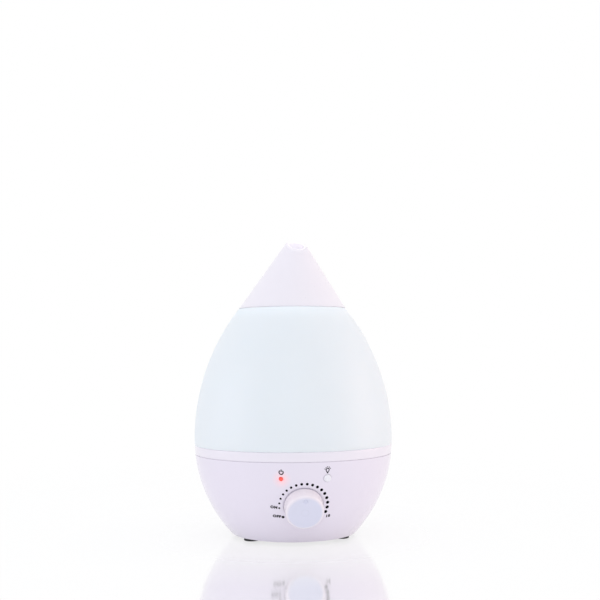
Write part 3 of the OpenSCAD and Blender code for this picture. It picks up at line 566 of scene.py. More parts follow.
def moved(obj, x, y, z):
    obj.data.transform(Matrix.Translation((x, y, z)))
    return obj


def into_panel(obj, x=0.0, y=0.0):
    """Moves a mesh that was drawn about the Z axis to a point of the panel."""
    obj.data.transform(PANEL @ Matrix.Translation((x, y, 0)))
    return obj


def softened(obj, degrees):
    """Smooth shading, apart from the edges sharper than an angle."""
    obj.data.shade_smooth()
    obj.data.set_sharp_from_angle(angle=math.radians(degrees))
    return obj


def set_material(obj, material):
    obj.data.materials.clear()
    obj.data.materials.append(material)
    return obj


def seated(obj, body, slot, *nodes):
    """Rides a finished piece on its body in place of CAD nodes, in the slot's finish."""
    set_material(obj, finish_for(slot))
    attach(obj, body)
    if nodes:
        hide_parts(*nodes)


def joined(name, objects):
    """One object from several plain meshes."""
    bm = bmesh.new()
    for obj in objects:
        bm.from_mesh(obj.data)
        bpy.data.objects.remove(obj)
    return from_bmesh(name, bm)


def cut(obj, tools, operation="DIFFERENCE"):
    """Cuts tools out of an object, or joins them to it, and removes them."""
    for tool in tools:
        modifier = obj.modifiers.new(tool.name, "BOOLEAN")
        modifier.operation = operation
        modifier.solver = "EXACT"
        modifier.object = tool
    baked(obj)
    for tool in tools:
        bpy.data.objects.remove(tool)
    return obj


def rounded(corners, steps=6):
    """A closed line with rounded corners. A corner is (r, z) or (r, z, radius)."""
    points = []
    for i, corner in enumerate(corners):
        p = Vector(corner[:2])
        radius = corner[2] if len(corner) > 2 else 0.0
        a = (Vector(corners[i - 1][:2]) - p).normalized()
        b = (Vector(corners[(i + 1) % len(corners)][:2]) - p).normalized()
        half = a.angle(b, math.pi) / 2
        if radius <= 0 or math.cos(half) < 0.01:
            points.append(p)
            continue
        centre = p + (a + b).normalized() * radius / math.sin(half)
        first = p + a * radius / math.tan(half) - centre
        swing = first.angle_signed(p + b * radius / math.tan(half) - centre)
        points += [centre + Matrix.Rotation(-swing * k / steps, 2) @ first for k in range(steps + 1)]
    return points


def side_line(arc, z1, z2, inset, steps):
    """Points down or up the body's side."""
    heights = [z1 + (z2 - z1) * i / steps for i in range(steps + 1)]
    return [Vector((side_r(arc, z, inset), z)) for z in heights]


def arc_points(x, y, radius, start, stop, steps):
    """Points round a centre, at angles clockwise from the top."""
    angles = [start + (stop - start) * i / steps for i in range(steps + 1)]
    return [Vector((x + radius * math.sin(a), y + radius * math.cos(a))) for a in angles]


def soft_end(arc, z_end, up, radius, steps=6):
    """The rounding from the body's side, an arc of this radius, to the flat end at z_end."""
    axis_r = BODY_R - arc
    cz = z_end - up * radius
    cr = axis_r + math.sqrt((arc - radius) ** 2 - (cz - BELLY_Z) ** 2)
    start = math.atan2(cr - axis_r, cz - BELLY_Z)
    return arc_points(cr, cz, radius, start, math.pi / 2 * (1 - up), steps)


# Geometry node trees

SOCKETS = {int: "Int", float: "Float"}


def new_tree(**inputs):
    """A tree with a mesh in and out and a material. An input is a number or its kind of socket."""
    tree = bpy.data.node_groups.new("tree", "GeometryNodeTree")
    tree.interface.new_socket(name="Mesh", in_out="INPUT", socket_type="NodeSocketGeometry")
    for name, default in {**inputs, "Material": "Material"}.items():
        kind = "NodeSocket" + SOCKETS.get(type(default), default)
        socket = tree.interface.new_socket(name=name.replace("_", " "), in_out="INPUT", socket_type=kind)
        if type(default) in SOCKETS:
            socket.default_value = default
    tree.interface.new_socket(name="Mesh", in_out="OUTPUT", socket_type="NodeSocketGeometry")
    graph = Graph(tree)
    return graph, graph.outlets("NodeGroupInput")


def end_tree(graph, mesh, given):
    """Realizes what is left as instances, sets the material and closes the tree."""
    mesh = graph.geo("RealizeInstances", Geometry=mesh)
    mesh = graph.geo("SetMaterial", Geometry=mesh, Material=given["Material"])
    graph.node("NodeGroupOutput", None, [mesh])
    return graph.tree


def smooth_by_angle(graph, mesh, limit):
    mesh = graph.geo("SetShadeSmooth", {"domain": "FACE"}, Geometry=mesh, Shade_Smooth=True)
    sharp = graph.geo("InputMeshEdgeAngle").above(limit)
    return graph.geo("SetShadeSmooth", {"domain": "EDGE"}, Geometry=mesh, Selection=sharp, Shade_Smooth=False)


def turned_piece():
    """Turns a half-section round the Z axis. The loose edges left on the axis go."""
    graph, given = new_tree(Segments=96, Sharp_Angle=0.5)
    loop = graph.geo("MeshToCurve", Mesh=given["Mesh"])
    loop = graph.geo("Transform", Geometry=loop, Translation=(-1.0, 0.0, 0.0))
    path = graph.geo("CurvePrimitiveCircle", Resolution=given["Segments"], Radius=1.0)
    mesh = graph.geo("CurveToMesh", Curve=path, Profile_Curve=loop)
    mesh = graph.geo("MergeByDistance", Geometry=mesh, Distance=0.003 * MM)
    on_axis = graph.geo("InputMeshEdgeNeighbors").below(0.5)
    edges = {"domain": "EDGE", "mode": "EDGE_FACE"}
    mesh = graph.geo("DeleteGeometry", edges, Geometry=mesh, Selection=on_axis)
    mesh = graph.geo("FlipFaces", Mesh=mesh)
    return end_tree(graph, smooth_by_angle(graph, mesh, given["Sharp Angle"]), given)


def pieces_on_ring():
    """Sets copies of a pattern piece on a ring about the Z axis, each turned to face outwards."""
    graph, given = new_tree(Piece="Object", Count=3, Ring_Radius=0.05, First_Angle=0.0, Height=0.0)
    turn = given["First Angle"] + graph.geo("InputIndex") * math.tau / given["Count"]
    radius = given["Ring Radius"]
    spot = graph.xyz(turn.cosine() * radius, turn.sine() * radius, given["Height"])
    points = graph.geo("Points", Count=given["Count"], Position=spot)
    piece = graph.outlets("GeometryNodeObjectInfo", Object=given["Piece"])["Geometry"]
    turn = graph.node("FunctionNodeEulerToRotation", None, [graph.xyz(0.0, 0.0, turn)])[0]
    copies = graph.geo("InstanceOnPoints", Points=points, Instance=piece, Rotation=turn)
    return end_tree(graph, copies, given)


def wound_spring():
    """Winds round wire into a spring about the Z axis."""
    graph, given = new_tree(Turns=3.0, Radius=0.003, Wire=0.0003, Height=0.003)
    radius = given["Radius"]
    path = graph.geo("CurveSpiral", Resolution=40, Rotations=given["Turns"], Start_Radius=radius,
                     End_Radius=radius, Height=given["Height"])
    wire = graph.geo("CurvePrimitiveCircle", Resolution=12, Radius=given["Wire"])
    mesh = graph.geo("CurveToMesh", Curve=path, Profile_Curve=wire, Fill_Caps=True)
    return end_tree(graph, smooth_by_angle(graph, mesh, math.radians(40)), given)


def dial_dots():
    """Round dots on an arc that grow from the first to the last, with one lone dot before them."""
    graph, given = new_tree(Dots=17, Ring_Radius=0.02, Lone_Angle=0.0, First_Angle=0.0, Last_Angle=0.0,
                            Lone_Size=0.002, First_Size=0.001, Last_Size=0.002, Thickness=0.0001)
    index = graph.geo("InputIndex")
    step = (index - 1.0) / (given["Dots"] - 1.0)
    lone = index.below(0.5)

    def graded(what):
        first, last = given["First " + what], given["Last " + what]
        return (first + step * (last - first)) * (1.0 - lone) + given["Lone " + what] * lone

    turn, size, radius = graded("Angle"), graded("Size"), given["Ring Radius"]
    spot = graph.xyz(turn.sine() * radius, turn.cosine() * radius, 0.0)
    points = graph.geo("Points", Count=given["Dots"] + 1.0, Position=spot)
    disc = graph.geo("MeshCylinder", Vertices=20, Radius=0.5, Depth=1.0)
    scale = graph.xyz(size, size, given["Thickness"])
    copies = graph.geo("InstanceOnPoints", Points=points, Instance=disc, Scale=scale)
    return end_tree(graph, copies, given)


def print_on_skin():
    """Lays a flat print, drawn in the panel's frame, on the skin below it."""
    graph, given = new_tree(Skin="Object", Origin="Vector", Turn="Rotation", Outwards="Vector", Lift=0.0)
    out, origin = given["Outwards"], given["Origin"]
    placed = graph.geo("Transform", Geometry=given["Mesh"], Translation=origin, Rotation=given["Turn"])
    skin = graph.outlets("GeometryNodeObjectInfo", Object=given["Skin"])["Geometry"]
    spot = graph.geo("InputPosition")
    height = graph.vector("DOT_PRODUCT", graph.vector("SUBTRACT", spot, origin), out)
    start_h, ray_length = 15 * MM, 40 * MM
    hit = graph.outlets("GeometryNodeRaycast", Target_Geometry=skin, Ray_Direction=graph.scaled(out, -1.0),
                        Source_Position=graph.vector("ADD", spot, graph.scaled(out, start_h)),
                        Ray_Length=ray_length)["Hit Position"]
    laid = graph.vector("ADD", hit, graph.scaled(out, height + given["Lift"]))
    placed = graph.geo("SetPosition", Geometry=placed, Position=laid)
    return end_tree(graph, placed, given)


def with_tree(obj, make, **values):
    """Puts a tree on an object, sets its named inputs and bakes the result."""
    modifier = obj.modifiers.new(make.__name__, "NODES")
    tree = bpy.data.node_groups.get(make.__name__) or make()
    tree.name = make.__name__
    modifier.node_group = tree
    for item in tree.interface.items_tree:
        key = item.name.replace(" ", "_")
        if item.item_type == "SOCKET" and item.in_out == "INPUT" and values.get(key) is not None:
            modifier[item.identifier] = values[key]
    return baked(obj)


def turned(name, points, segments=96, sharp=32, slot=None):
    """A closed half-section, given as radius and height, turned round the Z axis. A cutter has no slot."""
    ends = [(i, (i + 1) % len(points)) for i in range(len(points))]
    obj = linked(name)
    obj.data.from_pydata([(p[0], -p[1], 0.0) for p in points], ends, [])
    return with_tree(obj, turned_piece, Segments=segments, Sharp_Angle=math.radians(sharp),
                     Material=slot and finish_for(slot))


def peg(name, z1, z2, radius, segments, bore=0.0):
    return turned(name, [(bore, z1), (radius, z1), (radius, z2), (bore, z2)], segments)


def ring_of(name, piece, count, radius, start, z, slot):
    """Copies of a piece on a ring about the Z axis. The piece itself goes."""
    ring = with_tree(linked(name), pieces_on_ring, Piece=piece, Count=count, Ring_Radius=radius,
                     First_Angle=start, Height=z, Material=finish_for(slot))
    bpy.data.objects.remove(piece)
    return ring


def lip_tool(name, x, y, radius, lip, depth):
    """A cutter for a round hole in the shell along the panel's axis, which flares at the surface."""
    flare = arc_points(radius + lip, -lip, lip, -math.pi / 2, 0, 6)
    past = [(radius + 4 * lip, 4 * lip), (0, 6 * lip)]
    tool = turned(name, [(0, -depth), (radius, -depth)] + flare + past, 48)
    for v in tool.data.vertices:
        v.co.z += panel_drop(x + v.co.x, y + v.co.y)
    return into_panel(tool, x, y)


def block_tool(name, lo, hi, radius=0.0):
    """A box between two corners, with its edges rounded."""
    bm = bmesh.new()
    bmesh.ops.create_cube(bm, size=1.0)
    for v in bm.verts:
        v.co = Vector([lo[i] if v.co[i] < 0 else hi[i] for i in range(3)])
    if radius > 0:
        bmesh.ops.bevel(bm, geom=bm.edges[:], offset=radius, segments=5, profile=0.5, affect="EDGES")
    return from_bmesh(name, bm)


def true_normals(obj, arc):
    """Gives the faces on the body's side, an arc of this radius, the exact normals of that surface."""
    mesh = softened(obj, 30).data
    mesh.update()
    normals = [Vector(n.vector) for n in mesh.corner_normals]

    def exact(p):
        out = Vector((p.x, p.y, 0)).normalized() * (math.hypot(p.x, p.y) - BODY_R + arc)
        return (out + Vector((0, 0, p.z - BELLY_Z))).normalized()

    for face in mesh.polygons:
        corners = [(i, mesh.vertices[mesh.loops[i].vertex_index].co) for i in face.loop_indices]
        on_side = all(abs(math.hypot(p.x, p.y) - side_r(arc, p.z)) <= 0.03 * MM for _, p in corners)
        if on_side and exact(face.center).dot(face.normal) >= 0.97:
            for i, p in corners:
                normals[i] = exact(p)
    mesh.normals_split_custom_set([tuple(n) for n in normals])


def printed_line(points, width, thickness, closed=False):
    """A flat ribbon of even width along points, as a closed slab."""
    last = len(points) - 1
    bm = bmesh.new()
    rings = []
    for i, p in enumerate(points):
        before = points[i - 1] if (i or closed) else p
        after = points[(i + 1) % len(points)] if (i < last or closed) else p
        along = (after - before).normalized()
        across = Vector((-along.y, along.x)) * width / 2
        left, right = p + across, p - across
        rings.append([bm.verts.new((*q, z)) for q, z in (
            (left, 0), (right, 0), (right, thickness), (left, thickness))])
    for a, b in list(zip(rings, rings[1:] + rings[:1]))[:None if closed else last]:
        for k in range(4):
            bm.faces.new((a[k - 1], a[k], b[k], b[k - 1]))
    if not closed:
        bm.faces.new(rings[0])
        bm.faces.new(rings[last][::-1])
    return from_bmesh("line", bm)


def lettering(text, x, y, dial, align="CENTER"):
    """Raised letters in the panel's frame, centred on a height."""
    curve = bpy.data.curves.new("letters", "FONT")
    curve.body = text
    curve.size = dial.letter * 1.38
    curve.align_x, curve.align_y = align, "CENTER"
    curve.extrude = dial.ink / 2
    curve.offset = dial.letter * 0.1
    curve.space_character = 1.2
    font = linked("font", curve)
    bm = bmesh.new()
    bm.from_mesh(plain_mesh(font))
    bpy.data.objects.remove(font)
    bmesh.ops.remove_doubles(bm, verts=bm.verts[:], dist=0.001 * MM)
    return moved(from_bmesh("letters_" + text, bm), x, y, dial.ink / 2)


# Pieces

def shell_outline(sizes):
    cover_r = high("bottom_cover").x
    cover_top = FOOT_Z + 2.5 * MM
    ledge_r, ledge_top = cover_r - 3 * MM, cover_top + 2.5 * MM
    foot = [Vector((cover_r + 0.3 * MM, z)) for z in (cover_top, FOOT_Z)]
    bottom = soft_end(BASE_ARC, FOOT_Z, -1, sizes.seam_round)[::-1]
    top = soft_end(BASE_ARC, SHELL_TOP, 1, sizes.seam_round)
    outer = side_line(BASE_ARC, bottom[-1].y, top[0].y, 0.0, 56)[1:-1]
    inner = side_line(BASE_ARC, SHELL_TOP, ledge_top, sizes.wall, 30)
    ledge = [Vector((ledge_r, z)) for z in (ledge_top, cover_top)]
    return foot + bottom + outer + top + inner + ledge


class HUMIDIFIER_OT_shell(bpy.types.Operator):
    """Builds the base shell with the knob's recess, the key holes and the inlet pocket"""
    bl_idname = "humidifier.shell"
    bl_label = "Base Shell"

    def execute(self, context):
        sizes = context.scene.mist_skin
        shell = turned("shell_skin", shell_outline(sizes), sizes.segments, slot="white_shell")
        knob_low, knob_high = panel_box("knob")
        back, past = knob_low.z, 5 * MM
        boss_r, boss_rim, boss_top = knob_high.x + 3.2 * MM, -2.6 * MM, -1.2 * MM
        boss = turned("boss", [(0, back - past), (boss_r, back - past), (boss_r, boss_rim), (0, boss_top)])
        jack_low, jack_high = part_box("dc_jack")
        wall, sunk, pocket_round, housing_z = 2.2 * MM, 1.2 * MM, 1.2 * MM, 20 * MM
        pocket_x, pocket_low, pocket_high = 12 * MM, 12 * MM, 29 * MM
        face_y = jack_high.y - sunk
        housing = block_tool("housing", (-pocket_x - wall, face_y - wall, pocket_low - wall),
                             (pocket_x + wall, side_r(BASE_ARC, housing_z) - sunk, pocket_high + wall))
        side = side_line(BASE_ARC, FOOT_Z + MM, SHELL_TOP, sunk, 30)
        core = turned("core", [Vector((0, side[0].y)), *side, Vector((0, side[-1].y))])
        cut(shell, [into_panel(boss), cut(housing, [core], "INTERSECT")], "UNION")
        tools = [lip_tool(node + "_hole", *panel_mid(node).xy, radius, sizes.key_round, 8 * MM)
                 for node, radius in (("light_button", 3.15 * MM), ("power_lamp", 1.65 * MM))]
        edge, jack_r, nut_r, shaft_r = knob_high.x, 4.1 * MM, 9 * MM, 3.65 * MM
        bore = peg("jack_bore", -30 * MM, past, jack_r, 48)
        bore.data.transform(Matrix.Translation((0, face_y, (jack_low.z + jack_high.z) / 2))
                            @ Matrix.Rotation(-math.pi / 2, 4, "X"))
        pocket = block_tool("pocket", (-pocket_x, face_y, pocket_low), (pocket_x, BODY_R + past, pocket_high),
                            pocket_round)
        cut(shell, tools + [
            into_panel(peg("nut_seat", back - 0.4 * MM, past, nut_r, 64)),
            into_panel(peg("shadow_groove", back - 2 * MM, past, edge + 0.4 * MM, 128, edge - 0.3 * MM)),
            pocket, into_panel(peg("shaft_hole", -20 * MM, past, shaft_r, 32)), bore])
        true_normals(shell, BASE_ARC)
        seated(shell, "base", "white_shell", "base_shell")
        return {"FINISHED"}


class HUMIDIFIER_OT_tank(bpy.types.Operator):
    """Builds the frosted tank shell with its top plate and chimney collar"""
    bl_idname = "humidifier.tank"
    bl_label = "Tank"

    def execute(self, context):
        sizes = context.scene.mist_skin
        plate_top = low("nozzle_cone").z - 0.8 * MM
        plate_low = plate_top - 2.2 * MM
        hole = high("chimney").x + 0.1 * MM
        collar_r, collar_low = hole + 1.9 * MM, plate_low - 5 * MM
        bottom = soft_end(TANK_ARC, TANK_LOW, -1, sizes.tank_round)[::-1]
        top = soft_end(TANK_ARC, TANK_TOP, 1, 0.35 * MM, 4)
        outer = side_line(TANK_ARC, bottom[-1].y, top[0].y, 0.0, 80)[1:-1]
        inner = side_line(TANK_ARC, plate_low, TANK_LOW, sizes.tank_wall, 60)
        seat = rounded([
            (SEAT_R, TANK_TOP + 9 * MM), (SEAT_R, TANK_TOP, 0.5 * MM), (SEAT_R, plate_top, 0.5 * MM),
            (hole, plate_top, 0.3 * MM), (hole, collar_low), (collar_r, collar_low), (collar_r, plate_low)],
            4)[1:]
        seat = [Vector((SEAT_R, TANK_TOP))] + [p for p in seat if p.y <= TANK_TOP - 0.6 * MM]
        tank = turned("tank_skin", bottom + outer + top + seat + inner, sizes.segments, slot="tank_plastic")
        seated(tank, "tank", "tank_plastic", "tank_shell")
        return {"FINISHED"}


class HUMIDIFIER_OT_nozzle(bpy.types.Operator):
    """Builds the leaning nozzle with its slanted, rounded mouth"""
    bl_idname = "humidifier.nozzle"
    bl_label = "Nozzle"

    def execute(self, context):
        sizes = context.scene.mist_skin
        base, mouth_h, slope, lean, yaw, tilt = nozzle_cone()
        skirt_r, skirt_low = SEAT_R - 0.5 * MM, low("nozzle_cone").z
        wall, edge, floor_h = sizes.nozzle_wall, 0.45 * MM, 2 * MM
        rim = wall * 0.62

        def height(a, inset):
            """Height at which the outlet's plane cuts the cone's side."""
            s = math.sin(a)
            return (mouth_h + tilt * ((base - inset) * s + lean * mouth_h)) / (1 + tilt * (lean + slope * s))

        def around(a, r, z):
            return Vector((r * math.cos(a), r * math.sin(a), z))

        def spot(a, inset, h):
            return around(a, base - inset - slope * h, NOZZLE_Z + h) - Vector((0, lean * h, 0))

        def bend(start, middle, stop, steps):
            """Points of a curve from start to stop that is drawn towards the middle one."""
            return [start * (1 - t) ** 2 + middle * 2 * t * (1 - t) + stop * t * t for t in steps]

        def section(a):
            inner_r = skirt_r - 2.2 * MM
            foot = [(inner_r, skirt_low), (skirt_r - 0.3 * MM, skirt_low), (skirt_r, skirt_low + 0.3 * MM),
                    (skirt_r, NOZZLE_Z), (base - edge, NOZZLE_Z), (base - edge * 0.3, NOZZLE_Z + edge * 0.25)]
            points = [around(a, r, z) for r, z in foot]
            out_h, in_h, first = height(a, 0.0), height(a, wall), edge * 0.9
            points += [spot(a, 0.0, first + (out_h - rim - first) * i / 40) for i in range(41)]
            outer, inner = spot(a, 0.0, out_h), spot(a, wall, in_h)
            top = (outer + inner) / 2
            points += bend(points[-1], outer, top, (0.2, 0.4, 0.6, 0.8, 1.0))
            points += bend(top, inner, spot(a, wall, in_h - rim), (0.2, 0.4, 0.6, 0.8))
            points += [spot(a, wall, floor_h + (in_h - rim - floor_h) * (1 - i / 24)) for i in range(25)]
            return points + [around(a, inner_r, NOZZLE_Z + floor_h)]

        steps = sizes.segments
        lines = [section(math.tau * k / steps) for k in range(steps)]
        n = len(lines[0])
        faces = [(k * n + i, (k + 1) % steps * n + i, (k + 1) % steps * n + (i + 1) % n, k * n + (i + 1) % n)
                 for k in range(steps) for i in range(n)]
        nozzle = linked("nozzle_skin")
        nozzle.data.from_pydata([tuple(p) for line in lines for p in line], [], faces)
        nozzle.data.transform(Matrix.Rotation(yaw, 4, "Z"))
        seated(softened(nozzle, 40), "nozzle", "nozzle_plastic", "nozzle_cone")
        return {"FINISHED"}


class HUMIDIFIER_OT_knob(bpy.types.Operator):
    """Builds the dial knob with its rounded rim, dished face and pointer dimple"""
    bl_idname = "humidifier.knob"
    bl_label = "Knob"

    def execute(self, context):
        sizes = context.scene.mist_skin
        lo, hi = panel_box("knob")
        wide, face = hi.x, hi.x - sizes.knob_taper
        dish_r = face - sizes.knob_round - 0.9 * MM
        dish = [(dish_r * i / 12, hi.z - sizes.knob_dish * (1 - (i / 12) ** 2)) for i in range(12, -1, -1)]
        hub, hub_z, bore = 5.2 * MM, 2.2 * MM, 3.05 * MM
        under = hi.z - 2.2 * MM
        bore_z = under - MM
        outline = rounded([
            (wide - 2 * MM, lo.z, 0.2 * MM), (wide, lo.z, 0.3 * MM), (face, hi.z, sizes.knob_round),
            (dish_r + 0.5 * MM, hi.z, 0.4 * MM), *dish, (0, bore_z), (bore, bore_z), (bore, hub_z),
            (hub, hub_z, 0.3 * MM), (hub, under), (face - 2 * MM, under, 0.5 * MM)], 8)
        knob = turned("knob_skin", outline, 160, 38, "knob_plastic")
        tool_r, tool_top = 2.6 * MM, 3 * MM
        pointer = turned("pointer", rounded([
            (0, 0), (1.2 * MM, 0.02 * MM, 0.8 * MM), (1.9 * MM, 1.02 * MM, 0.3 * MM), (tool_r, 1.12 * MM),
            (tool_r, tool_top), (0, tool_top)]), 48)
        cut(knob, [moved(pointer, 0, face - 4.9 * MM, hi.z - 1.3 * MM)])
        into_panel(softened(knob, 38))
        seated(knob, "dial", "knob_plastic", "knob")
        return {"FINISHED"}


class HUMIDIFIER_OT_keys(bpy.types.Operator):
    """Builds the light button and the power lamp"""
    bl_idname = "humidifier.keys"
    bl_label = "Button and Lamp"

    def execute(self, context):
        lo, hi = panel_box("light_button")
        flange, cap, dome_h = (hi.x - lo.x) / 2, 3 * MM, 0.35 * MM
        flange_z = lo.z + 0.8 * MM
        crown = [(cap * i / 10, hi.z - dome_h * (i / 10) ** 2) for i in range(8, -1, -1)]
        button = turned("button_skin", rounded([
            (0, lo.z), (flange, lo.z, 0.15 * MM), (flange, flange_z, 0.15 * MM), (cap, flange_z),
            (cap, hi.z - 0.34 * MM, 0.7 * MM)] + crown), 64, slot="button_plastic")
        into_panel(button, *panel_mid("light_button").xy)
        seated(button, "light_key", "button_plastic", "light_button")
        lo, hi = panel_box("power_lamp")
        lens, collar, collar_low, collar_high = 1.5 * MM, (hi.x - lo.x) / 2, lo.z + 0.6 * MM, lo.z + 1.6 * MM
        dome = arc_points(0, hi.z - lens, lens, math.pi / 2, 0, 10)
        body = turned("lamp_body", rounded([
            (0, collar_low), (collar, collar_low, 0.1 * MM), (collar, collar_high, 0.1 * MM),
            (lens, collar_high)] + dome), 48, slot="lamp_red")
        legs = [block_tool("leg", (x, -0.2 * MM, lo.z), (x + 0.4 * MM, 0.2 * MM, lo.z + 0.7 * MM))
                for x in (-0.9 * MM, 0.5 * MM)]
        lamp = into_panel(softened(joined("lamp_skin", [body] + legs), 38), *panel_mid("power_lamp").xy)
        seated(lamp, "base", "lamp_red", "power_lamp")
        return {"FINISHED"}


class HUMIDIFIER_OT_valve(bpy.types.Operator):
    """Winds the valve's spring and turns its soft seal"""
    bl_idname = "humidifier.valve"
    bl_label = "Valve Spring and Seal"

    def execute(self, context):
        lo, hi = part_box("valve_spring")
        wire, middle = 0.35 * MM, (lo + hi) / 2
        spring = with_tree(linked("spring_skin"), wound_spring, Radius=(hi.x - lo.x) / 2 - wire, Wire=wire,
                           Height=hi.z - lo.z - 2.2 * wire, Material=finish_for("screw_steel"))
        moved(spring, middle.x, middle.y, lo.z + 1.1 * wire)
        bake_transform(spring)
        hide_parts("valve_spring")
        lo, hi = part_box("valve_seal")
        outer, foot = (hi.x - lo.x) / 2, lo.z + 0.03 * MM
        inner = min(math.hypot(v.co.x - middle.x, v.co.y - middle.y)
                    for v in frame["nodes"]["valve_seal"].data.vertices)
        seal = turned("seal_skin", rounded([
            (inner, foot, 0.15 * MM), (outer - 0.1 * MM, foot, 0.35 * MM), (outer, hi.z, 0.5 * MM),
            (inner + 1.6 * MM, hi.z - 0.1 * MM, 0.2 * MM), (inner, hi.z, 0.15 * MM)]),
            slot="pale_rubber")
        seated(moved(seal, middle.x, middle.y, 0), "valve", "pale_rubber", "valve_seal")
        return {"FINISHED"}


def pictograms(dial):
    """Lines of the power sign over the lamp and of the bulb sign over the button."""
    key = panel_mid("light_button")
    x, y = panel_mid("power_lamp").x, key.y + 5.4 * MM
    lines = [(arc_points(x, y, 1.6 * MM, 0.6, math.tau - 0.6, 30), 1.0, False),
             ([Vector((x, y + 0.3 * MM)), Vector((x, y + 2.2 * MM))], 1.0, False)]
    x, y = key.x, key.y + 6.6 * MM
    foot = [Vector((x + side * 0.62 * MM, y - 1.6 * MM)) for side in (1, -1)]
    lines.append((arc_points(x, y, 1.25 * MM, -2.5, 2.5, 26) + foot, 0.85, True))
    lines.append(([Vector((x + side * 0.5 * MM, y - 2.25 * MM)) for side in (-1, 1)], 1.0, False))
    for a in (-1.15, -0.58, 0.0, 0.58, 1.15):
        ray = Vector((math.sin(a), math.cos(a)))
        lines.append(([Vector((x, y)) + ray * r for r in (1.95 * MM, 2.75 * MM)], 0.8, False))
    return [printed_line(points, dial.line * width, dial.ink, closed) for points, width, closed in lines]


class HUMIDIFIER_OT_marks(bpy.types.Operator):
    """Prints the dial's dots, its words and the two pictograms on the shell"""
    bl_idname = "humidifier.marks"
    bl_label = "Printed Marks"

    def execute(self, context):
        dial = context.scene.mist_dial
        ink = ink_finish(context.scene.mist_finishes).material
        dots = with_tree(linked("dial_dots"), dial_dots, Dots=dial.dots, Ring_Radius=dial.ring_radius,
                         Lone_Angle=dial.off_angle, First_Angle=dial.on_angle, Last_Angle=dial.full_angle,
                         Lone_Size=dial.off_dot, First_Size=dial.small_dot, Last_Size=dial.large_dot,
                         Thickness=dial.ink, Material=ink)
        words = []
        for text, turn, dx, dy, align in (("OFF", dial.off_angle, -1.7 * MM, 0.1 * MM, "RIGHT"),
                                          ("ON", dial.on_angle, -1.5 * MM, 0.2 * MM, "RIGHT"),
                                          ("10", dial.full_angle, 2.2 * MM, -4.7 * MM, "CENTER")):
            x, y = dial.ring_radius * math.sin(turn), dial.ring_radius * math.cos(turn)
            words.append(lettering(text, x + dx, y + dy, dial, align))
        for mark in (dots, joined("dial_labels", words + pictograms(dial))):
            with_tree(mark, print_on_skin, Skin=bpy.data.objects["shell_skin"], Origin=PANEL.translation,
                      Turn=PANEL.to_euler(), Outwards=OUT, Lift=0.015 * MM, Material=ink)
            seated(mark, "base", "white_shell")
            set_material(mark, ink)
        return {"FINISHED"}


class HUMIDIFIER_OT_feet(bpy.types.Operator):
    """Builds the three rubber feet with rounded edges and a grooved sole"""
    bl_idname = "humidifier.feet"
    bl_label = "Feet"

    def execute(self, context):
        lo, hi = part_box("rubber_feet")
        feet = named(frame["record"]["mounts"], "feet")["dims"]
        r, deep, soft = feet["stud_r_mm"] * MM, 0.5 * MM, 0.15 * MM
        inner, outer = r - 2.6 * MM, r - 1.8 * MM
        foot = turned("foot", rounded([
            (0, 0), (inner, 0), (inner, deep, soft), (outer, deep, soft), (outer, 0),
            (r, 0, context.scene.mist_skin.foot_round), (r, hi.z), (0, hi.z)]), 64)
        ring = ring_of("feet_skin", foot, feet["count"], feet["pcd_mm"] * MM / 2, math.pi / 2, lo.z,
                       "black_rubber")
        seated(ring, "base", "black_rubber", "rubber_feet")
        return {"FINISHED"}


class HUMIDIFIER_OT_screws(bpy.types.Operator):
    """Builds the bottom cover's screws with domed heads and cross recesses"""
    bl_idname = "humidifier.screws"
    bl_label = "Cover Screws"

    def execute(self, context):
        lo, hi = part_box("cover_screws")
        head_r, head_t, shank, pitch = 2.7 * MM, 1.4 * MM, 1.4 * MM, 0.6 * MM
        core, tip = shank * 0.8, hi.z - lo.z
        outline = [(0, 0)] + [(head_r * i / 8, head_t * 0.45 * (i / 8) ** 2.4) for i in range(2, 9)]
        outline.append((head_r, head_t))
        z = head_t
        while z < tip - 1.6 * MM:
            outline += [(core, z), (shank, z + pitch / 2), (core, z + pitch)]
            z += pitch
        outline += [(shank * 0.7, tip - 0.9 * MM), (0, tip)]
        screw = turned("screw", rounded(outline), 40)
        cut(screw, [block_tool("cross", (-a * MM, -b * MM, -MM), (a * MM, b * MM, 0.9 * MM))
                    for a, b in ((1.5, 0.28), (0.28, 1.5))])
        ring = ring_of("cover_screw_set", softened(screw, 32), 3, -lo.y - head_r, -math.pi / 2, lo.z,
                       "screw_steel")
        seated(ring, "base", "screw_steel", "cover_screws")
        return {"FINISHED"}


class HUMIDIFIER_OT_inner(bpy.types.Operator):
    """Gives every CAD piece that stays its moulded, metal or rubber finish"""
    bl_idname = "humidifier.inner"
    bl_label = "Inner Finishes"

    def execute(self, context):
        for entry in frame["record"]["subparts"]:
            obj = frame["nodes"][entry["node"]]
            if not obj.hide_render:
                for own in obj.material_slots:
                    own.material = finish_for(entry["material_slot"])
        return {"FINISHED"}


# Studio

def seen_rays(graph):
    """Rays of the eye, and those that meet gloss or clear plastic."""
    path = graph.outlets("LightPath")
    eye = path["Is Camera Ray"]
    return eye, (eye + path["Is Glossy Ray"] + path["Is Transmission Ray"]).clamped()


def pale_sky(s):
    """White to the eye, to gloss and to clear plastic, and a soft tint as light."""
    world = bpy.data.worlds.new("sky")
    graph = shader_graph(world)
    tone = graph.mix(seen_rays(graph)[1], rgba(s.sky), WHITE)
    back = graph.node("Background", Color=tone, Strength=1.0)[0]
    graph.node("OutputWorld", Surface=back)
    return world


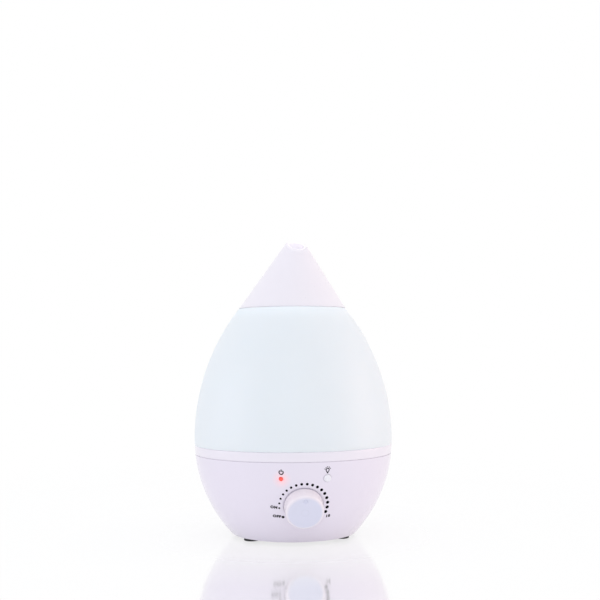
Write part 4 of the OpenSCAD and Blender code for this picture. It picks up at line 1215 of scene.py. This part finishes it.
def pale_floor(s):
    """A pale, faintly glossy floor that is white to the eye and keeps the object's shadow."""
    side, fade_start, fade_run, gloss_start, gloss_run = 3.0, 0.4, 0.3, 0.06, 0.14
    floor = linked("floor")
    floor.data.from_pydata([(-side, -side, 0), (side, -side, 0), (side, side, 0), (-side, side, 0)], [],
                           [(0, 1, 2, 3)])
    material = bpy.data.materials.new("floor")
    graph = shader_graph(material)
    eye, seen = seen_rays(graph)
    reach = graph.vector("LENGTH", graph.outlets("TexCoord")["Object"])
    matte = graph.node("BsdfDiffuse", Color=WHITE)[0]
    white = graph.node("Emission", Color=WHITE, Strength=1.0)[0]
    gloss = graph.node("BsdfGlossy", Color=WHITE, Roughness=0.09)[0]
    clear = graph.node("BsdfTransparent")[0]
    near = ((reach - gloss_start) / gloss_run).clamped() * (s.mirror - s.mirror_near) + s.mirror_near
    below = graph.outlets("NewGeometry")["Backfacing"]
    fade = (((reach - fade_start) / fade_run).clamped() * seen + below).clamped()
    shade = matte
    for factor, other in ((seen * 0.8, white), (eye * near, gloss), (fade, clear)):
        shade = graph.node("MixShader", None, [factor, shade, other])[0]
    graph.node("OutputMaterial", Surface=shade)
    return set_material(floor, material)


class HUMIDIFIER_OT_stage(bpy.types.Operator):
    """Builds the camera, the pale floor and the soft studio light"""
    bl_idname = "humidifier.stage"
    bl_label = "Studio"

    def execute(self, context):
        scene, s = context.scene, context.scene.mist_stage
        scene.view_settings.view_transform = "Standard"
        camera = bpy.data.cameras.new("camera")
        camera.lens = s.lens
        camera.shift_x, camera.shift_y = s.shift_x, s.shift_y
        eye = linked("camera", camera)
        eye.location = (-s.distance * math.sin(s.side), -s.distance * math.cos(s.side), s.eye)
        eye.rotation_euler = (math.pi / 2, s.roll, -s.side)
        scene.camera = eye
        scene.world = pale_sky(s)
        pale_floor(s)
        for name, energy, tone, size, spot in (
                ("front", s.front, (0.88, 0.915, 1.0), 1.2, (-0.1, -1.6, 0.75)),
                ("left", s.left, (0.93, 0.9, 1.0), 1.1, (-1.5, -0.15, 0.35)),
                ("right", s.right, (1.0, 0.7, 0.615), 1.1, (1.5, -0.25, 0.35)),
                ("top", s.top, (0.97, 0.97, 1.0), 1.2, (0.0, 0.1, 1.7))):
            lamp = bpy.data.lights.new(name, "AREA")
            lamp.energy, lamp.color, lamp.size = energy, tone, size
            holder = linked(name, lamp)
            holder.location = spot
            holder.rotation_euler = (Vector((0, 0, 0.12)) - Vector(spot)).to_track_quat("-Z", "Y").to_euler()
        return {"FINISHED"}


class HUMIDIFIER_PT_panel(bpy.types.Panel):
    """Lists the sizes, the colours and the pieces in the sidebar"""
    bl_idname = "HUMIDIFIER_PT_panel"
    bl_label = "Cool Mist Humidifier"
    bl_space_type = "VIEW_3D"
    bl_region_type = "UI"
    bl_category = "Humidifier"

    def draw(self, context):
        for name, group in GROUPS.items():
            box = self.layout.box()
            for key in group.__annotations__:
                box.prop(getattr(context.scene, name), key)
        for operator in OPERATORS:
            self.layout.operator(operator.bl_idname)


GROUPS = {"mist_skin": SkinSizes, "mist_dial": DialSizes, "mist_finishes": Finishes, "mist_stage": StageSizes}
OPERATORS = (
    HUMIDIFIER_OT_stage, HUMIDIFIER_OT_shell, HUMIDIFIER_OT_tank, HUMIDIFIER_OT_nozzle, HUMIDIFIER_OT_knob,
    HUMIDIFIER_OT_keys, HUMIDIFIER_OT_valve, HUMIDIFIER_OT_marks, HUMIDIFIER_OT_feet, HUMIDIFIER_OT_screws,
    HUMIDIFIER_OT_inner,
)
CLASSES = (*GROUPS.values(), *OPERATORS, HUMIDIFIER_PT_panel)


def register():
    for cls in CLASSES:
        bpy.utils.register_class(cls)
    for name, group in GROUPS.items():
        setattr(bpy.types.Scene, name, PointerProperty(type=group))


def unregister():
    for name in GROUPS:
        delattr(bpy.types.Scene, name)
    for cls in reversed(CLASSES):
        bpy.utils.unregister_class(cls)


def main():
    register()
    for operator in OPERATORS:
        group, name = operator.bl_idname.split(".")
        getattr(getattr(bpy.ops, group), name)()


if __name__ == "__main__":
    main()
